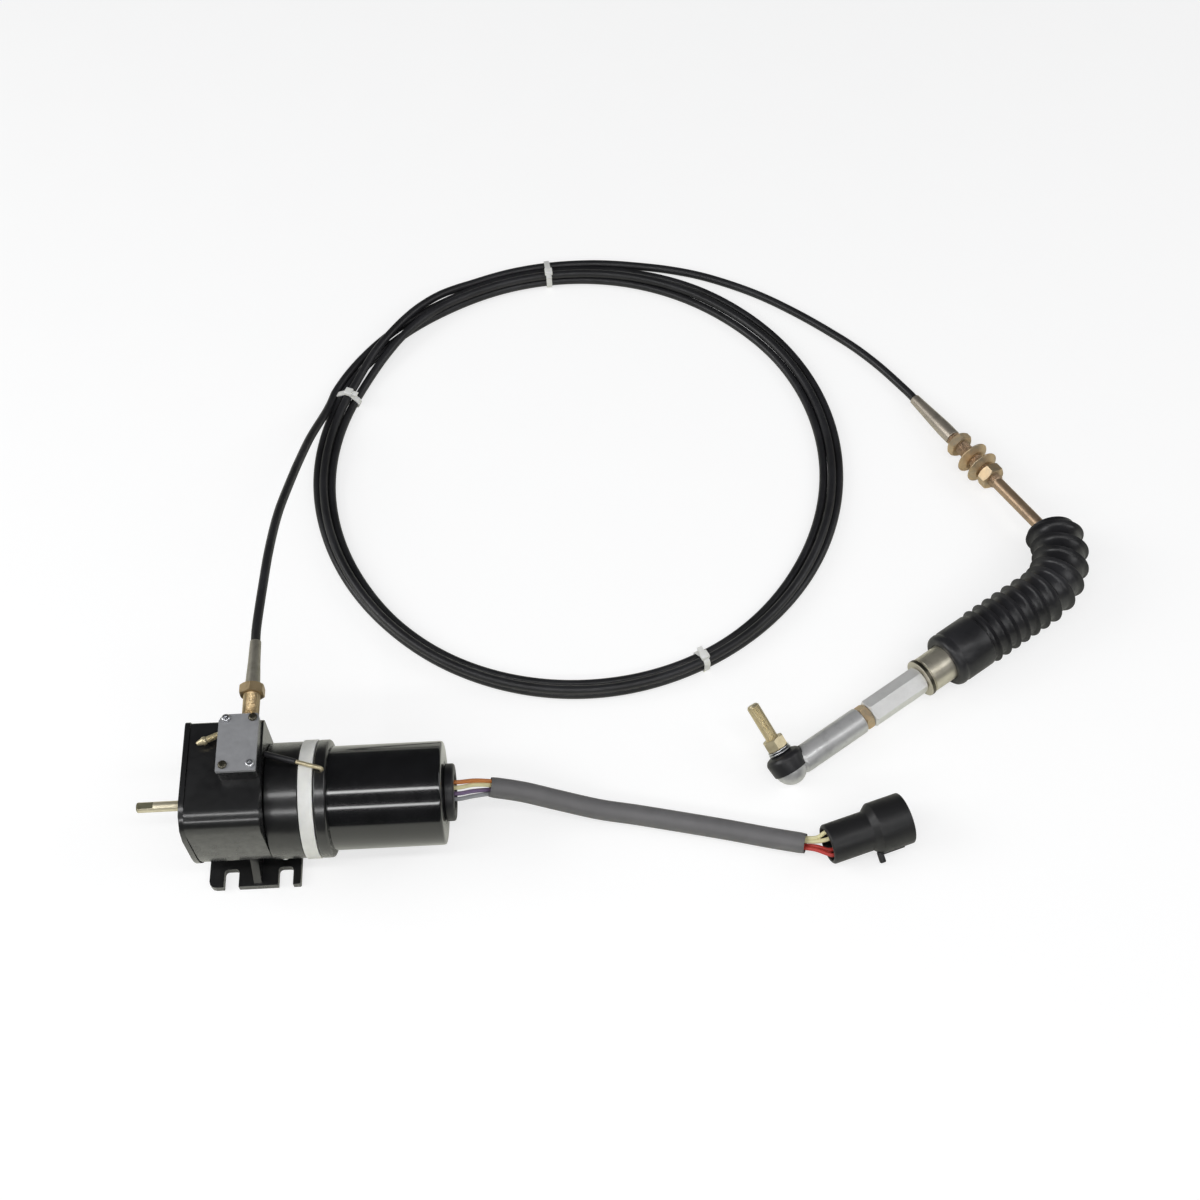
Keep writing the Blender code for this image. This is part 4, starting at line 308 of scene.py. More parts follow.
def moulded(name, colour, rough, grain=1500, depth=0.00004, glow=0.0):
    """Moulded plastic with a fine spark-eroded grain; glow lets light into a pale one."""
    made, shader = new_material(name)
    tree = made.node_tree
    cloud = noise(tree, 60, 3)
    tree.links.new(
        ramp(tree, cloud, [(0.3, scaled(colour, 0.9)), (0.7, scaled(colour, 1.06))]),
        shader.inputs["Base Color"],
    )
    tree.links.new(
        spread_value(tree, noise(tree, 300, 4), rough * 0.9, rough * 1.2),
        shader.inputs["Roughness"],
    )
    if glow:
        shader.inputs["Subsurface Weight"].default_value = glow
        shader.inputs["Subsurface Radius"].default_value = (0.004, 0.004, 0.003)
        shader.inputs["Subsurface Scale"].default_value = 0.5
    bump(tree, shader, noise(tree, grain, 4), 0.4, depth)
    return made


def plated(name, colour, other, rough, grain=700, depth=0.00003, metal=1.0):
    """Plated metal: its tone drifts between two colours, with a fine tooth and stained patches."""
    made, shader = new_material(name)
    tree = made.node_tree
    drift = noise(tree, 75, 6, rough=0.65)
    tree.links.new(
        ramp(tree, drift, [(0.3, other), (0.5, colour), (0.7, scaled(colour, 1.06))]),
        shader.inputs["Base Color"],
    )
    tree.links.new(
        spread_value(tree, noise(tree, 330, 6), rough * 0.88, rough * 1.16),
        shader.inputs["Roughness"],
    )
    shader.inputs["Metallic"].default_value = metal
    bump(tree, shader, noise(tree, grain, 5), 0.4, depth)
    return made


# Name, colour, second colour, roughness, grain, depth of the grain, metallic value
PLATED = (
    ("grey_tan", (0.56, 0.5, 0.42), (0.43, 0.39, 0.33), 0.42, 520, 0.0001, 0.8),
    ("warm_zinc", (0.4, 0.38, 0.32), (0.3, 0.29, 0.23), 0.44, 520, 0.0001, 0.8),
    ("tan_zinc", (0.66, 0.5, 0.31), (0.46, 0.4, 0.3), 0.42, 420, 0.00008, 0.8),
    ("brown_zinc", (0.5, 0.36, 0.24), (0.34, 0.25, 0.18), 0.42, 420, 0.00008, 0.8),
    ("dark_gold", (0.5, 0.38, 0.22), (0.3, 0.22, 0.12), 0.4, 360, 0.0001, 0.85),
    ("champagne", (0.72, 0.63, 0.42), (0.54, 0.46, 0.28), 0.4, 300, 0.00006, 0.75),
    ("bright_pin", (0.82, 0.75, 0.56), (0.7, 0.62, 0.44), 0.36, 700, 0.00003, 0.7),
    ("olive_zinc", (0.42, 0.4, 0.27), (0.32, 0.3, 0.19), 0.42),
    ("sleeve_zinc", (0.68, 0.64, 0.53), (0.46, 0.42, 0.33), 0.34, 500, 0.00004, 0.8),
    ("hex_zinc", (0.84, 0.84, 0.83), (0.78, 0.78, 0.77), 0.4, 700, 0.00002, 0.45),
    ("cast_zinc", (0.66, 0.66, 0.66), (0.52, 0.52, 0.52), 0.36, 380, 0.00008, 0.55),
    # Dark zinc: the dark band on the sleeve's end, and painted shade on two of the cover screws
    ("band_zinc", (0.14, 0.13, 0.1), (0.07, 0.065, 0.055), 0.4),
)
# Name, colour, roughness
MOULDED = (
    ("ferrite", (0.06, 0.06, 0.065), 0.6),
    ("wire_cream", (0.78, 0.72, 0.42), 0.4),
    ("wire_orange", (0.62, 0.22, 0.06), 0.4),
    ("wire_violet", (0.2, 0.14, 0.26), 0.4),
    ("wire_grey", (0.32, 0.33, 0.35), 0.4),
    ("wire_red", (0.55, 0.05, 0.04), 0.4),
)
FINISHES = {}


def finish(name):
    return FINISHES[name]


def make_finishes(colours):
    """Fills FINISHES from the tables and from the colours that a user can change."""
    paint = tuple(colours.paint)
    rubber = tuple(colours.rubber)
    zinc = tuple(colours.zinc)
    gold = tuple(colours.yellow_zinc)
    steel = tuple(colours.steel)
    recipes = (
        (coat_paint, "black_paint", paint, 0.2, 300, 0.00004, 0.1),
        (coat_paint, "cast_paint", paint, 0.45, 260, 0.00005, 0.22),
        (soft_rubber, "black_rubber", rubber, 0.38),
        (soft_rubber, "bellows_rubber", rubber, 0.36, 500, 0.00012),
        (moulded, "black_plastic", tuple(colours.plastic), 0.42),
        (moulded, "white_nylon", tuple(colours.nylon), 0.42, 900, 0.00005, 0.15),
        (moulded, "grey_sheath", tuple(colours.sheath), 0.45, 260, 0.00015, 0.05),
        (plated, "zinc", zinc, scaled(zinc, 0.86), 0.3),
        (plated, "dull_zinc", scaled(zinc, 0.5), scaled(zinc, 0.46), 0.5, 900, 0.00004, 0.5),
        (plated, "yellow_zinc", gold, mixed(gold, (0.62, 0.46, 0.22), 0.5), 0.33),
        (plated, "steel", steel, scaled(steel, 0.75), 0.3),
        (plated, "bronze", tuple(colours.bronze), (0.4, 0.26, 0.12), 0.4),
        (plated, "copper", tuple(colours.copper), (0.5, 0.2, 0.1), 0.35),
        *((plated, *row) for row in PLATED),
        *((moulded, *row) for row in MOULDED),
    )
    for make, name, *values in recipes:
        FINISHES[name] = make(name, *values)


# Shapes


def heading_to(origin, direction, side=None):
    """A matrix at origin whose Z runs along direction and whose X lies as near side as it can."""
    z = direction.normalized()
    side = side or (Z_AXIS if abs(z.z) < 0.9 else X_AXIS)
    x = (side - z * side.dot(z)).normalized()
    turn = Matrix((x, z.cross(x), z)).transposed().to_4x4()
    return Matrix.Translation(origin) @ turn


def on_shaft(x):
    """A matrix on the shaft line at x: its Z runs along the shaft, its X along +Y, its Y up."""
    return heading_to(Vector((x, 0, AXIS_HEIGHT)), X_AXIS, Y_AXIS)


def tidy(mesh):
    bmesh.ops.remove_doubles(mesh, verts=mesh.verts, dist=1e-7)
    bmesh.ops.recalc_face_normals(mesh, faces=mesh.faces)
    return mesh


def spun(profile, steps=None):
    """A profile of (radius, height) points in metres, turned once round Z."""
    steps = steps or bpy.context.scene.motor_sizes.steps
    mesh = bmesh.new()
    verts = [mesh.verts.new((radius, 0, height)) for radius, height in profile]
    edges = [mesh.edges.new(pair) for pair in zip(verts, verts[1:])]
    if profile[0][0] > 0 or profile[-1][0] > 0:
        edges.append(mesh.edges.new((verts[-1], verts[0])))
    bmesh.ops.spin(
        mesh,
        geom=verts + edges,
        cent=(0, 0, 0),
        axis=(0, 0, 1),
        angle=math.tau,
        steps=steps,
        use_merge=True,
    )
    return tidy(mesh)


def plate(outline, low, high):
    """An outline of (x, y) points made a solid between two heights."""
    mesh = bmesh.new()
    face = mesh.faces.new([mesh.verts.new((x, y, low)) for x, y in outline])
    grown = bmesh.ops.extrude_face_region(mesh, geom=[face])
    moved = [item for item in grown["geom"] if isinstance(item, bmesh.types.BMVert)]
    bmesh.ops.translate(mesh, verts=moved, vec=(0, 0, high - low))
    return tidy(mesh)


def block(size, centre=(0, 0, 0)):
    mesh = bmesh.new()
    bmesh.ops.create_cube(mesh, size=1.0)
    bmesh.ops.scale(mesh, vec=size, verts=mesh.verts)
    bmesh.ops.translate(mesh, vec=centre, verts=mesh.verts)
    return mesh


def rounded_edges(mesh, width, segments=3, angle=30):
    sharp = [
        edge
        for edge in mesh.edges
        if len(edge.link_faces) == 2 and edge.calc_face_angle(0) > math.radians(angle)
    ]
    bmesh.ops.bevel(
        mesh,
        geom=sharp,
        offset=width,
        affect="EDGES",
        segments=segments,
        profile=0.5,
        material=-1,
        clamp_overlap=True,
    )
    return mesh


def circle_points(radius, steps, x=0.0, y=0.0):
    return [
        (x + radius * math.cos(math.tau * i / steps), y + radius * math.sin(math.tau * i / steps))
        for i in range(steps)
    ]


def hexagon(flats):
    return circle_points(flats / math.sqrt(3), 6)


def corner_arc(x, y, radius, start, end, steps=6):
    return [
        (
            x + radius * math.cos(math.radians(start + (end - start) * i / steps)),
            y + radius * math.sin(math.radians(start + (end - start) * i / steps)),
        )
        for i in range(steps + 1)
    ]


def data_of(name, mesh, matrix=None):
    """The bmesh as mesh data in the row's frame, with smooth faces and sharp real edges."""
    if matrix is not None:
        bmesh.ops.transform(mesh, matrix=matrix, verts=mesh.verts)
    for face in mesh.faces:
        face.smooth = True
    data = bpy.data.meshes.new(name)
    mesh.to_mesh(data)
    mesh.free()
    data.set_sharp_from_angle(angle=math.radians(32))
    return data


def stand_in(obj, stands_for):
    """Hides the CAD nodes that the object replaces."""
    if stands_for:
        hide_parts(*stands_for)
    return obj


def piece(name, mesh, surface, body, matrix=None, stands_for=()):
    """Makes an object of the bmesh, finishes it, and lets it ride on its body."""
    obj = bpy.data.objects.new(name, data_of(name, mesh, matrix))
    obj.data.materials.append(finish(surface))
    bpy.context.scene.collection.objects.link(obj)
    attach(obj, body)
    return stand_in(obj, stands_for)


def combined(base, *steps):
    """The base bmesh after each (operation, other bmesh) Boolean."""
    scene = bpy.context.scene
    made = bpy.data.objects.new("base_work", bpy.data.meshes.new("base_work"))
    base.to_mesh(made.data)
    base.free()
    scene.collection.objects.link(made)
    helpers = []
    for operation, other in steps:
        tool = bpy.data.objects.new("tool_work", bpy.data.meshes.new("tool_work"))
        other.to_mesh(tool.data)
        other.free()
        scene.collection.objects.link(tool)
        helpers.append(tool)
        step = made.modifiers.new("Step", "BOOLEAN")
        step.operation = operation
        step.solver = "EXACT"
        step.object = tool
    bpy.context.view_layer.update()
    graph = bpy.context.evaluated_depsgraph_get()
    result = bmesh.new()
    result.from_mesh(made.evaluated_get(graph).to_mesh())
    made.evaluated_get(graph).to_mesh_clear()
    for obj in [made, *helpers]:
        data = obj.data
        bpy.data.objects.remove(obj, do_unlink=True)
        bpy.data.meshes.remove(data)
    return result


def moved(mesh, matrix):
    bmesh.ops.transform(mesh, matrix=matrix, verts=mesh.verts)
    return mesh


def joined(*meshes):
    """Several closed bmeshes as one."""
    whole = bmesh.new()
    for mesh in meshes:
        data = bpy.data.meshes.new("join_work")
        mesh.to_mesh(data)
        mesh.free()
        whole.from_mesh(data)
        bpy.data.meshes.remove(data)
    return whole


def copy_of(node):
    """A merged copy of a CAD node's mesh, with its flat faces made whole."""
    mesh = bmesh.new()
    mesh.from_mesh(NODES[node].data)
    bmesh.ops.remove_doubles(mesh, verts=mesh.verts, dist=0.000005)
    bmesh.ops.dissolve_limit(
        mesh, angle_limit=math.radians(1), verts=mesh.verts, edges=mesh.edges
    )
    return mesh


def lengths_along(path):
    """The distance run at each of the path's points."""
    found = [0.0]
    for a, b in zip(path, path[1:]):
        found.append(found[-1] + (b - a).length)
    return found


def cubic(t, first, leaving, last, arriving):
    """A value between first and last, with the slope given at both ends."""
    return (
        first * (2 * t**3 - 3 * t**2 + 1)
        + leaving * (t**3 - 2 * t**2 + t)
        + last * (3 * t**2 - 2 * t**3)
        + arriving * (t**3 - t**2)
    )


def smooth(points, spacing):
    """Points at about the given spacing on a smooth curve through points."""
    ends = [points[0] * 2 - points[1], *points, points[-1] * 2 - points[-2]]
    fine = [points[0]]
    for before, a, b, after in zip(ends, ends[1:], ends[2:], ends[3:]):
        for i in range(1, CURVE_STEPS + 1):
            t = i / CURVE_STEPS
            fine.append(
                (
                    a * 2
                    + (b - before) * t
                    + (before * 2 - a * 5 + b * 4 - after) * t**2
                    + (a * 3 - before - b * 3 + after) * t**3
                )
                / 2
            )
    lengths = lengths_along(fine)
    count = max(2, round(lengths[-1] / spacing))
    found = []
    k = 0
    for i in range(count + 1):
        wanted = lengths[-1] * i / count
        while k < len(fine) - 2 and lengths[k + 1] < wanted:
            k += 1
        share = (wanted - lengths[k]) / max(lengths[k + 1] - lengths[k], 1e-12)
        found.append(fine[k].lerp(fine[k + 1], min(share, 1.0)))
    return found


def cord_curve(name, points, radius, surface, body, stands_for=(), round_steps=5):
    """A round cord as a curve of one open spline, capped at both ends."""
    curve = bpy.data.curves.new(name, "CURVE")
    curve.dimensions = "3D"
    curve.bevel_depth = radius
    curve.bevel_resolution = round_steps
    curve.use_fill_caps = True
    spline = curve.splines.new("POLY")
    spline.points.add(len(points) - 1)
    for point, place in zip(spline.points, points):
        point.co = (*place, 1)
    spline.use_smooth = True
    obj = bpy.data.objects.new(name, curve)
    curve.materials.append(finish(surface))
    bpy.context.scene.collection.objects.link(obj)
    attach(obj, body)
    return stand_in(obj, stands_for)


# Places of the cable's strands round the coil

# Degrees turned clockwise from +X, radius and height in millimetres. Three turns pass each
# angle, and a fourth strand runs between the near tie and the far tail.
STRAND_PLAN = (
    (-156, 222.9, 5.9),
    (-150, 222.6, 5.9),
    (-135, 220.8, 5.5),
    (-120, 218.8, 5.3),
    (-105, 219.2, 5.3),
    (-90, 219.8, 5.3),
    (-75, 221.4, 5.3),
    (-60, 222.6, 5.3),
    (-45, 221.9, 5.3),
    (-30, 221.0, 5.3),
    (0, 218.2, 5.3),
    (30, 215.9, 5.3),
    (60, 214.5, 5.3),
    (90, 215.1, 5.3),
    (120, 213.4, 5.3),
    (135, 212.4, 5.3),
    (150, 212.6, 5.3),
    (165, 213.6, 5.3),
    (180, 215.1, 5.3),
    (195, 215.6, 5.3),
    (204, 215.6, 5.3),
    (210, 215.1, 5.3),
    (225, 211.6, 5.3),
    (240, 208.7, 5.3),
    (255, 208.5, 5.3),
    (285, 208.6, 5.3),
    (315, 206.8, 5.3),
    (330, 207.0, 5.3),
    (360, 205.2, 5.3),
    (390, 204.1, 5.3),
    (420, 206.4, 5.3),
    (450, 206.2, 5.3),
    (480, 206.2, 5.3),
    (495, 205.2, 5.3),
    (510, 203.7, 5.3),
    (540, 203.2, 5.3),
    (564, 202.9, 5.3),
    (570, 203.4, 5.6),
    (578, 205.0, 8.3),
    (585, 206.9, 11.3),
    (592, 208.7, 12.4),
    (600, 209.9, 12.3),
    (894, 209.3, 9.9),
    (904, 209.1, 9.3),
    (914, 208.8, 9.4),
    (924, 208.6, 10.4),
    (930, 209.6, 11.0),
    (937, 213.0, 12.5),
    (945, 217.2, 12.4),
    (952, 221.0, 12.6),
    (960, 224.9, 9.8),
    (968, 225.8, 6.0),
    (975, 226.5, 5.3),
    (990, 227.3, 5.3),
    (1000, 229.0, 5.3),
)
# The stretch that lies on top of the two turns before it
TOP_TURN = (600, 894)
# Millimetres between the centres of two strands that touch
TOUCHING = 7.05
# How far a strand's height shifts it against the floor, seen from the camera's rise
SEEN_LEAN = 0.625
# Degrees between two points of the coil's centreline
COIL_STEP = 4.0
# The free stretches of the cable and the lead, in millimetres
NEAR_ROUTE = (
    (10.1, 153.4, 92.0),
    (11.2, 191.0, 84.0),
    (13.1, 235.8, 68.5),
    (18.4, 283.1, 50.0),
    (22.0, 308.7, 40.0),
    (26.2, 334.9, 29.5),
    (30.4, 354.2, 21.5),
    (34.3, 369.9, 15.0),
    (37.4, 383.1, 10.0),
    (40.0, 394.0, 7.2),
)
FAR_ROUTE = (
    (305.1, 534.0, 5.2),
    (335.3, 528.2, 4.7),
    (365.3, 519.0, 4.3),
    (396.0, 504.4, 4.2),
    (422.3, 488.3, 4.2),
    (450.7, 466.4, 4.2),
    (475.4, 444.3, 4.3),
    (493.6, 426.0, 4.6),
    (512.0, 403.0, 5.2),
)
SHEATH_ROUTE = (
    (171.5, 8.9, 33.0),
    (195.0, 6.5, 27.0),
    (221.0, 2.5, 18.0),
    (250.0, -3.0, 11.0),
    (279.0, -8.0, 8.2),
    (336.0, -21.5, 8.2),
    (372.0, -31.5, 9.6),
    (396.5, -39.0, 13.2),
)
TIE_ANGLES = (156.4, 94.4, -64.9)


def on_plan(turned):
    """(radius, height) on STRAND_PLAN, as a smooth run through its places."""
    index = 0
    while index < len(STRAND_PLAN) - 2 and turned > STRAND_PLAN[index + 1][0]:
        index += 1
    first, last = STRAND_PLAN[index], STRAND_PLAN[index + 1]
    before = STRAND_PLAN[max(index - 1, 0)]
    after = STRAND_PLAN[min(index + 2, len(STRAND_PLAN) - 1)]
    run = last[0] - first[0]
    share = (turned - first[0]) / run
    place = []
    for way in (1, 2):
        leaving = (last[way] - before[way]) / (last[0] - before[0]) * run
        arriving = (after[way] - first[way]) / (after[0] - first[0]) * run
        place.append(cubic(share, first[way], leaving, last[way], arriving))
    return tuple(place)


def strand_place(turned):
    """(radius, height) in millimetres of the cable after it has turned clockwise to this angle.

    The top turn lies on the two below it, on the side where it closes the gap between them.
    """
    if not TOP_TURN[0] <= turned <= TOP_TURN[1]:
        return on_plan(turned)
    inner, low = on_plan(turned - 360)
    outer = on_plan(turned - 720)[0]
    half = (outer - inner) / 2
    lean = -SEEN_LEAN * math.sin(math.radians(turned))
    room = (half * lean) ** 2 - (1 + lean**2) * (half**2 - TOUCHING**2)
    lift = max(0.0, (half * abs(lean) + math.sqrt(max(0.0, room))) / (1 + lean**2))
    return inner + half - lean * lift, low + lift


def ring_point(turned):
    radius, height = strand_place(turned)
    angle = math.radians(-turned)
    flat = Vector((radius * math.cos(angle), radius * math.sin(angle), height))
    return COIL_CENTRE + flat * MM


def strands_at(angle):
    """(radius, height) of each strand that passes the coil's given angle."""
    found = []
    turned = -angle
    while turned - 360 >= STRAND_PLAN[0][0]:
        turned -= 360
    while turned <= STRAND_PLAN[-1][0]:
        if turned >= STRAND_PLAN[0][0]:
            found.append(strand_place(turned))
        turned += 360
    return found


class PIECE_OT_cable(bpy.types.Operator):
    """Coils the black push-pull cable, with its two free tails, in one length"""

    bl_idname = "throttle.cable"
    bl_label = "Cable"

    def execute(self, context):
        radius = context.scene.cable_sizes.diameter / 2
        points = [CABLE_EXIT, CABLE_EXIT + Y_AXIS * 15 * MM]
        points += [Vector(point) * MM for point in NEAR_ROUTE]
        turned = STRAND_PLAN[0][0]
        while turned < STRAND_PLAN[-1][0]:
            points.append(ring_point(turned))
            turned += COIL_STEP
        points.append(ring_point(STRAND_PLAN[-1][0]))
        points += [Vector(point) * MM for point in FAR_ROUTE]
        points += [FAR_START + FAR_DIRECTION * along * MM for along in (-10, 0, 30, 60, 90)]
        path = smooth(points, 5 * MM)
        cord_curve(
            "push_pull_cable",
            path,
            radius,
            "black_rubber",
            "housing",
            ("near_cable", "cable_coil", "far_cable"),
        )
        context.scene["cable_length"] = lengths_along(path)[-1]
        return {"FINISHED"}


TIE_STEPS = 48
TIE_INSIDE = 3.8 * MM
TIE_OUTSIDE = 4.9 * MM
TIE_OFF_FLOOR = 0.4 * MM
TIE_HEAD_RISE = 6.1 * MM


def tie_loop(strands, reach, lift):
    """The points of a line drawn tight round the strands, reach away from their centres."""
    loop = []
    for i in range(TIE_STEPS):
        lean = math.tau * i / TIE_STEPS
        way = (math.cos(lean), math.sin(lean))
        far = max(strands, key=lambda s: s[0] * way[0] + s[1] * way[1])
        loop.append((far[0] + reach * way[0], max(far[1] + reach * way[1], lift)))
    return loop


def tie_band(angle, width):
    """A strap drawn tight round the strands at this angle, with its square head on top."""
    strands = [(r * MM, z * MM) for r, z in strands_at(angle)]
    mesh = bmesh.new()
    loops = []
    for reach in (TIE_INSIDE, TIE_OUTSIDE):
        line = tie_loop(strands, reach, TIE_OFF_FLOOR + (TIE_OUTSIDE - reach))
        loops.append([mesh.verts.new((x, y, -width / 2)) for x, y in line])
    inner, outer = loops
    faces = []
    for i in range(TIE_STEPS):
        j = (i + 1) % TIE_STEPS
        faces.append(mesh.faces.new((outer[i], outer[j], inner[j], inner[i])))
    grown = bmesh.ops.extrude_face_region(mesh, geom=faces)
    lifted = [item for item in grown["geom"] if isinstance(item, bmesh.types.BMVert)]
    bmesh.ops.translate(mesh, verts=lifted, vec=(0, 0, width))
    tidy(mesh)
    x, y = max(strands, key=lambda s: s[1])
    y += TIE_HEAD_RISE
    head = block((6.4 * MM, 3.6 * MM, width + 1.8 * MM), (x - 1 * MM, y, 0))
    tail = block((5.5 * MM, 1.1 * MM, width * 0.9), (x - 6.5 * MM, y, 0))
    return joined(mesh, rounded_edges(head, 0.5 * MM), rounded_edges(tail, 0.25 * MM))


class PIECE_OT_ties(bpy.types.Operator):
    """Straps the coil with its three white ties"""

    bl_idname = "throttle.ties"
    bl_label = "Cable ties"

    def execute(self, context):
        width = context.scene.cable_sizes.tie_width
        for number, angle in enumerate(TIE_ANGLES, 1):
            lean = math.radians(angle)
            radial = Vector((math.cos(lean), math.sin(lean), 0))
            clockwise = Vector((radial.y, -radial.x, 0))
            piece(
                f"white_tie_{number}",
                tie_band(angle, width),
                "white_nylon",
                "housing",
                heading_to(COIL_CENTRE, clockwise, radial),
                (f"cable_tie_{number}",),
            )
        return {"FINISHED"}


# Turned and hexagonal pieces


def eased(points, radius, steps=2):
    """A profile with each corner rounded, as far as its shorter side allows. Its ends stay."""
    found = [points[0]]
    for before, corner, after in zip(points, points[1:], points[2:]):
        a = Vector(before) - Vector(corner)
        b = Vector(after) - Vector(corner)
        cut = min(radius, a.length * 0.45, b.length * 0.45)
        if cut < 1e-6 or abs(a.normalized().cross(b.normalized())) < 0.12:
            found.append(corner)
            continue
        first = Vector(corner) + a.normalized() * cut
        last = Vector(corner) + b.normalized() * cut
        for i in range(steps + 2):
            t = i / (steps + 1)
            point = first * (1 - t) ** 2 + Vector(corner) * 2 * t * (1 - t) + last * t**2
            found.append((point.x, point.y))
    found.append(points[-1])
    return found


def ring_profile(outer, inner, low, high, radius):
    """A closed ring's section. It starts in the middle of its bore, so each corner is rounded."""
    start = (inner, (low + high) / 2)
    corners = [(inner, low), (outer, low), (outer, high), (inner, high)]
    return eased([start, *corners, start], radius)[:-1]


def threaded(radius, low, high, pitch, depth):
    """The rising side of a screw's profile, with one ridge for each pitch."""
    points = [(radius - depth, low)]
    count = max(1, int((high - low) / pitch))
    pitch = (high - low) / count
    for i in range(count):
        base = low + pitch * i
        points += [
            (radius, base + pitch * 0.42),
            (radius, base + pitch * 0.58),
            (radius - depth, base + pitch),
        ]
    return points


def bored(radius, low, high):
    """A round cutter that passes through from low to high."""
    low -= 1 * MM
    high += 1 * MM
    return spun([(0, low), (radius, low), (radius, high), (0, high)], 48)


def hex_nut(flats, low, high, bore, chamfer=0.3):
    """A hexagon with its corners turned off at the ends, and a bore where there is one."""
    reach = flats / math.sqrt(3) * 1.02
    small = flats / 2 * 0.98
    slope = (reach - small) * chamfer * 1.9
    turned = [
        (0, low),
        (small, low),
        (reach, low + slope),
        (reach, high - slope),
        (small, high),
        (0, high),
    ]
    steps = [("INTERSECT", spun(turned, 72))]
    if bore:
        steps.append(("DIFFERENCE", bored(bore, low, high)))
    return combined(plate(hexagon(flats), low, high), *steps)


def pan_head(radius, low, high):
    """A screw head with a domed edge and a cross recess."""
    rise = high - low
    profile = eased(
        [(0, low), (radius, low), (radius, low + rise * 0.5), (radius * 0.72, high), (0, high)],
        0.5 * MM,
        3,
    )
    arm = radius * 0.95
    width = radius * 0.22
    deep = rise * 0.8
    return combined(
        spun(profile, 48),
        ("DIFFERENCE", block((arm, width, deep), (0, 0, high))),
        ("DIFFERENCE", block((width, arm, deep), (0, 0, high))),
    )


def ease_edges(obj, width, segments, harden):
    """Rounds the object's real edges with a Bevel modifier."""
    bevel = obj.modifiers.new("Edges", "BEVEL")
    bevel.width = width
    bevel.segments = segments
    bevel.limit_method = "ANGLE"
    bevel.angle_limit = math.radians(40)
    bevel.harden_normals = harden


class PIECE_OT_housing(bpy.types.Operator):
    """Builds the cast gear housing with its slotted foot, and the cover on its left end"""

    bl_idname = "throttle.housing"
    bl_label = "Gear housing"

    def execute(self, context):
        edge = context.scene.motor_sizes.edge_radius
        for node, width in (("gear_housing", edge), ("end_plate", edge * 0.9)):
            obj = piece(
                f"cast_{node}",
                copy_of(node),
                "cast_paint",
                "housing",
                None,
                (node,),
            )
            ease_edges(obj, width, 3, True)
        return {"FINISHED"}


SET_SCREW_DIP = 0.66


def ends_of(node):
    """Where a node on the shaft line starts and stops along X."""
    low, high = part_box(node)
    return low.x, high.x


class PIECE_OT_motor(bpy.types.Operator):
    """Turns the barrel, white ring, flange, drawn can and rear grommet"""

    bl_idname = "throttle.motor"
    bl_label = "Motor body"

    def execute(self, context):
        sizes = context.scene.motor_sizes
        can = sizes.can_radius
        barrel = sizes.barrel_radius
        left, right = ends_of("gearbox_barrel")
        piece(
            "barrel",
            spun(ring_profile(barrel, barrel - 3 * MM, 0, right - left, 1.3 * MM)),
            "cast_paint",
            "housing",
            on_shaft(left),
            ("gearbox_barrel",),
        )
        left, right = ends_of("spacer_ring")
        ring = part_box("spacer_ring")[1].y
        piece(
            "white_ring",
            spun(ring_profile(ring, ring - 6 * MM, 0, right - left, 0.9 * MM)),
            "white_nylon",
            "housing",
            on_shaft(left),
            ("spacer_ring",),
        )
        left, right = ends_of("motor_flange")
        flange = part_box("motor_flange")[1].y
        length = right - left
        rolled = eased(
            [
                (can - 6 * MM, 0.3 * MM),
                (flange, 0.3 * MM),
                (flange, length - 1.2 * MM),
                (can + 1.6 * MM, length),
                (can - 6 * MM, length),
            ],
            1.4 * MM,
            3,
        )
        piece(
            "flange",
            spun(rolled),
            "cast_paint",
            "housing",
            on_shaft(left),
            ("motor_flange",),
        )
        left, right = ends_of("motor_can")
        length = right - left
        drawn = eased(
            [
                (can - 2 * MM, 0),
                (can, 0),
                (can, length - 0.4 * MM),
                (can - 5 * MM, length),
                (22.5 * MM, length),
                (22.0 * MM, length - 0.6 * MM),
                (20.0 * MM, length - 0.6 * MM),
                (20.0 * MM, length - 3 * MM),
                (can - 3 * MM, length - 3 * MM),
                (can - 2.5 * MM, 0.2 * MM),
            ],
            3.4 * MM,
            6,
        )
        piece(
            "drawn_can",
            spun(drawn, 128),
            "black_paint",
            "housing",
            on_shaft(left),
            ("motor_can",),
        )
        left, right = ends_of("rear_grommet")
        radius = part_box("rear_grommet")[1].y
        length = right - left
        profile = eased(
            [
                (0, -2.5 * MM),
                (radius - 1.2 * MM, -2.5 * MM),
                (radius - 1.2 * MM, 0),
                (radius, 0.4 * MM),
                (radius, length),
                (radius * 0.62, length),
                (radius * 0.6, length - 1.3 * MM),
                (0, length - 1.3 * MM),
            ],
            2.0 * MM,
            4,
        )
        hole = 8.8 * MM
        well = [(0, -5 * MM), (hole, -5 * MM), (hole, 9 * MM), (0, 9 * MM)]
        lift = Matrix.Translation(Vector((0, WIRE_EXIT.z - AXIS_HEIGHT, length)))
        piece(
            "end_grommet",
            combined(spun(profile), ("DIFFERENCE", moved(spun(well, 32), lift))),
            "black_rubber",
            "housing",
            on_shaft(left),
            ("rear_grommet",),
        )
        out = Vector((0, -math.cos(SET_SCREW_DIP), -math.sin(SET_SCREW_DIP)))
        head = heading_to(Vector((24 * MM, 0, AXIS_HEIGHT)) + out * barrel, out)
        piece("set_screw", pan_head(2.6 * MM, -1 * MM, 1.6 * MM), "zinc", "housing", head)
        return {"FINISHED"}


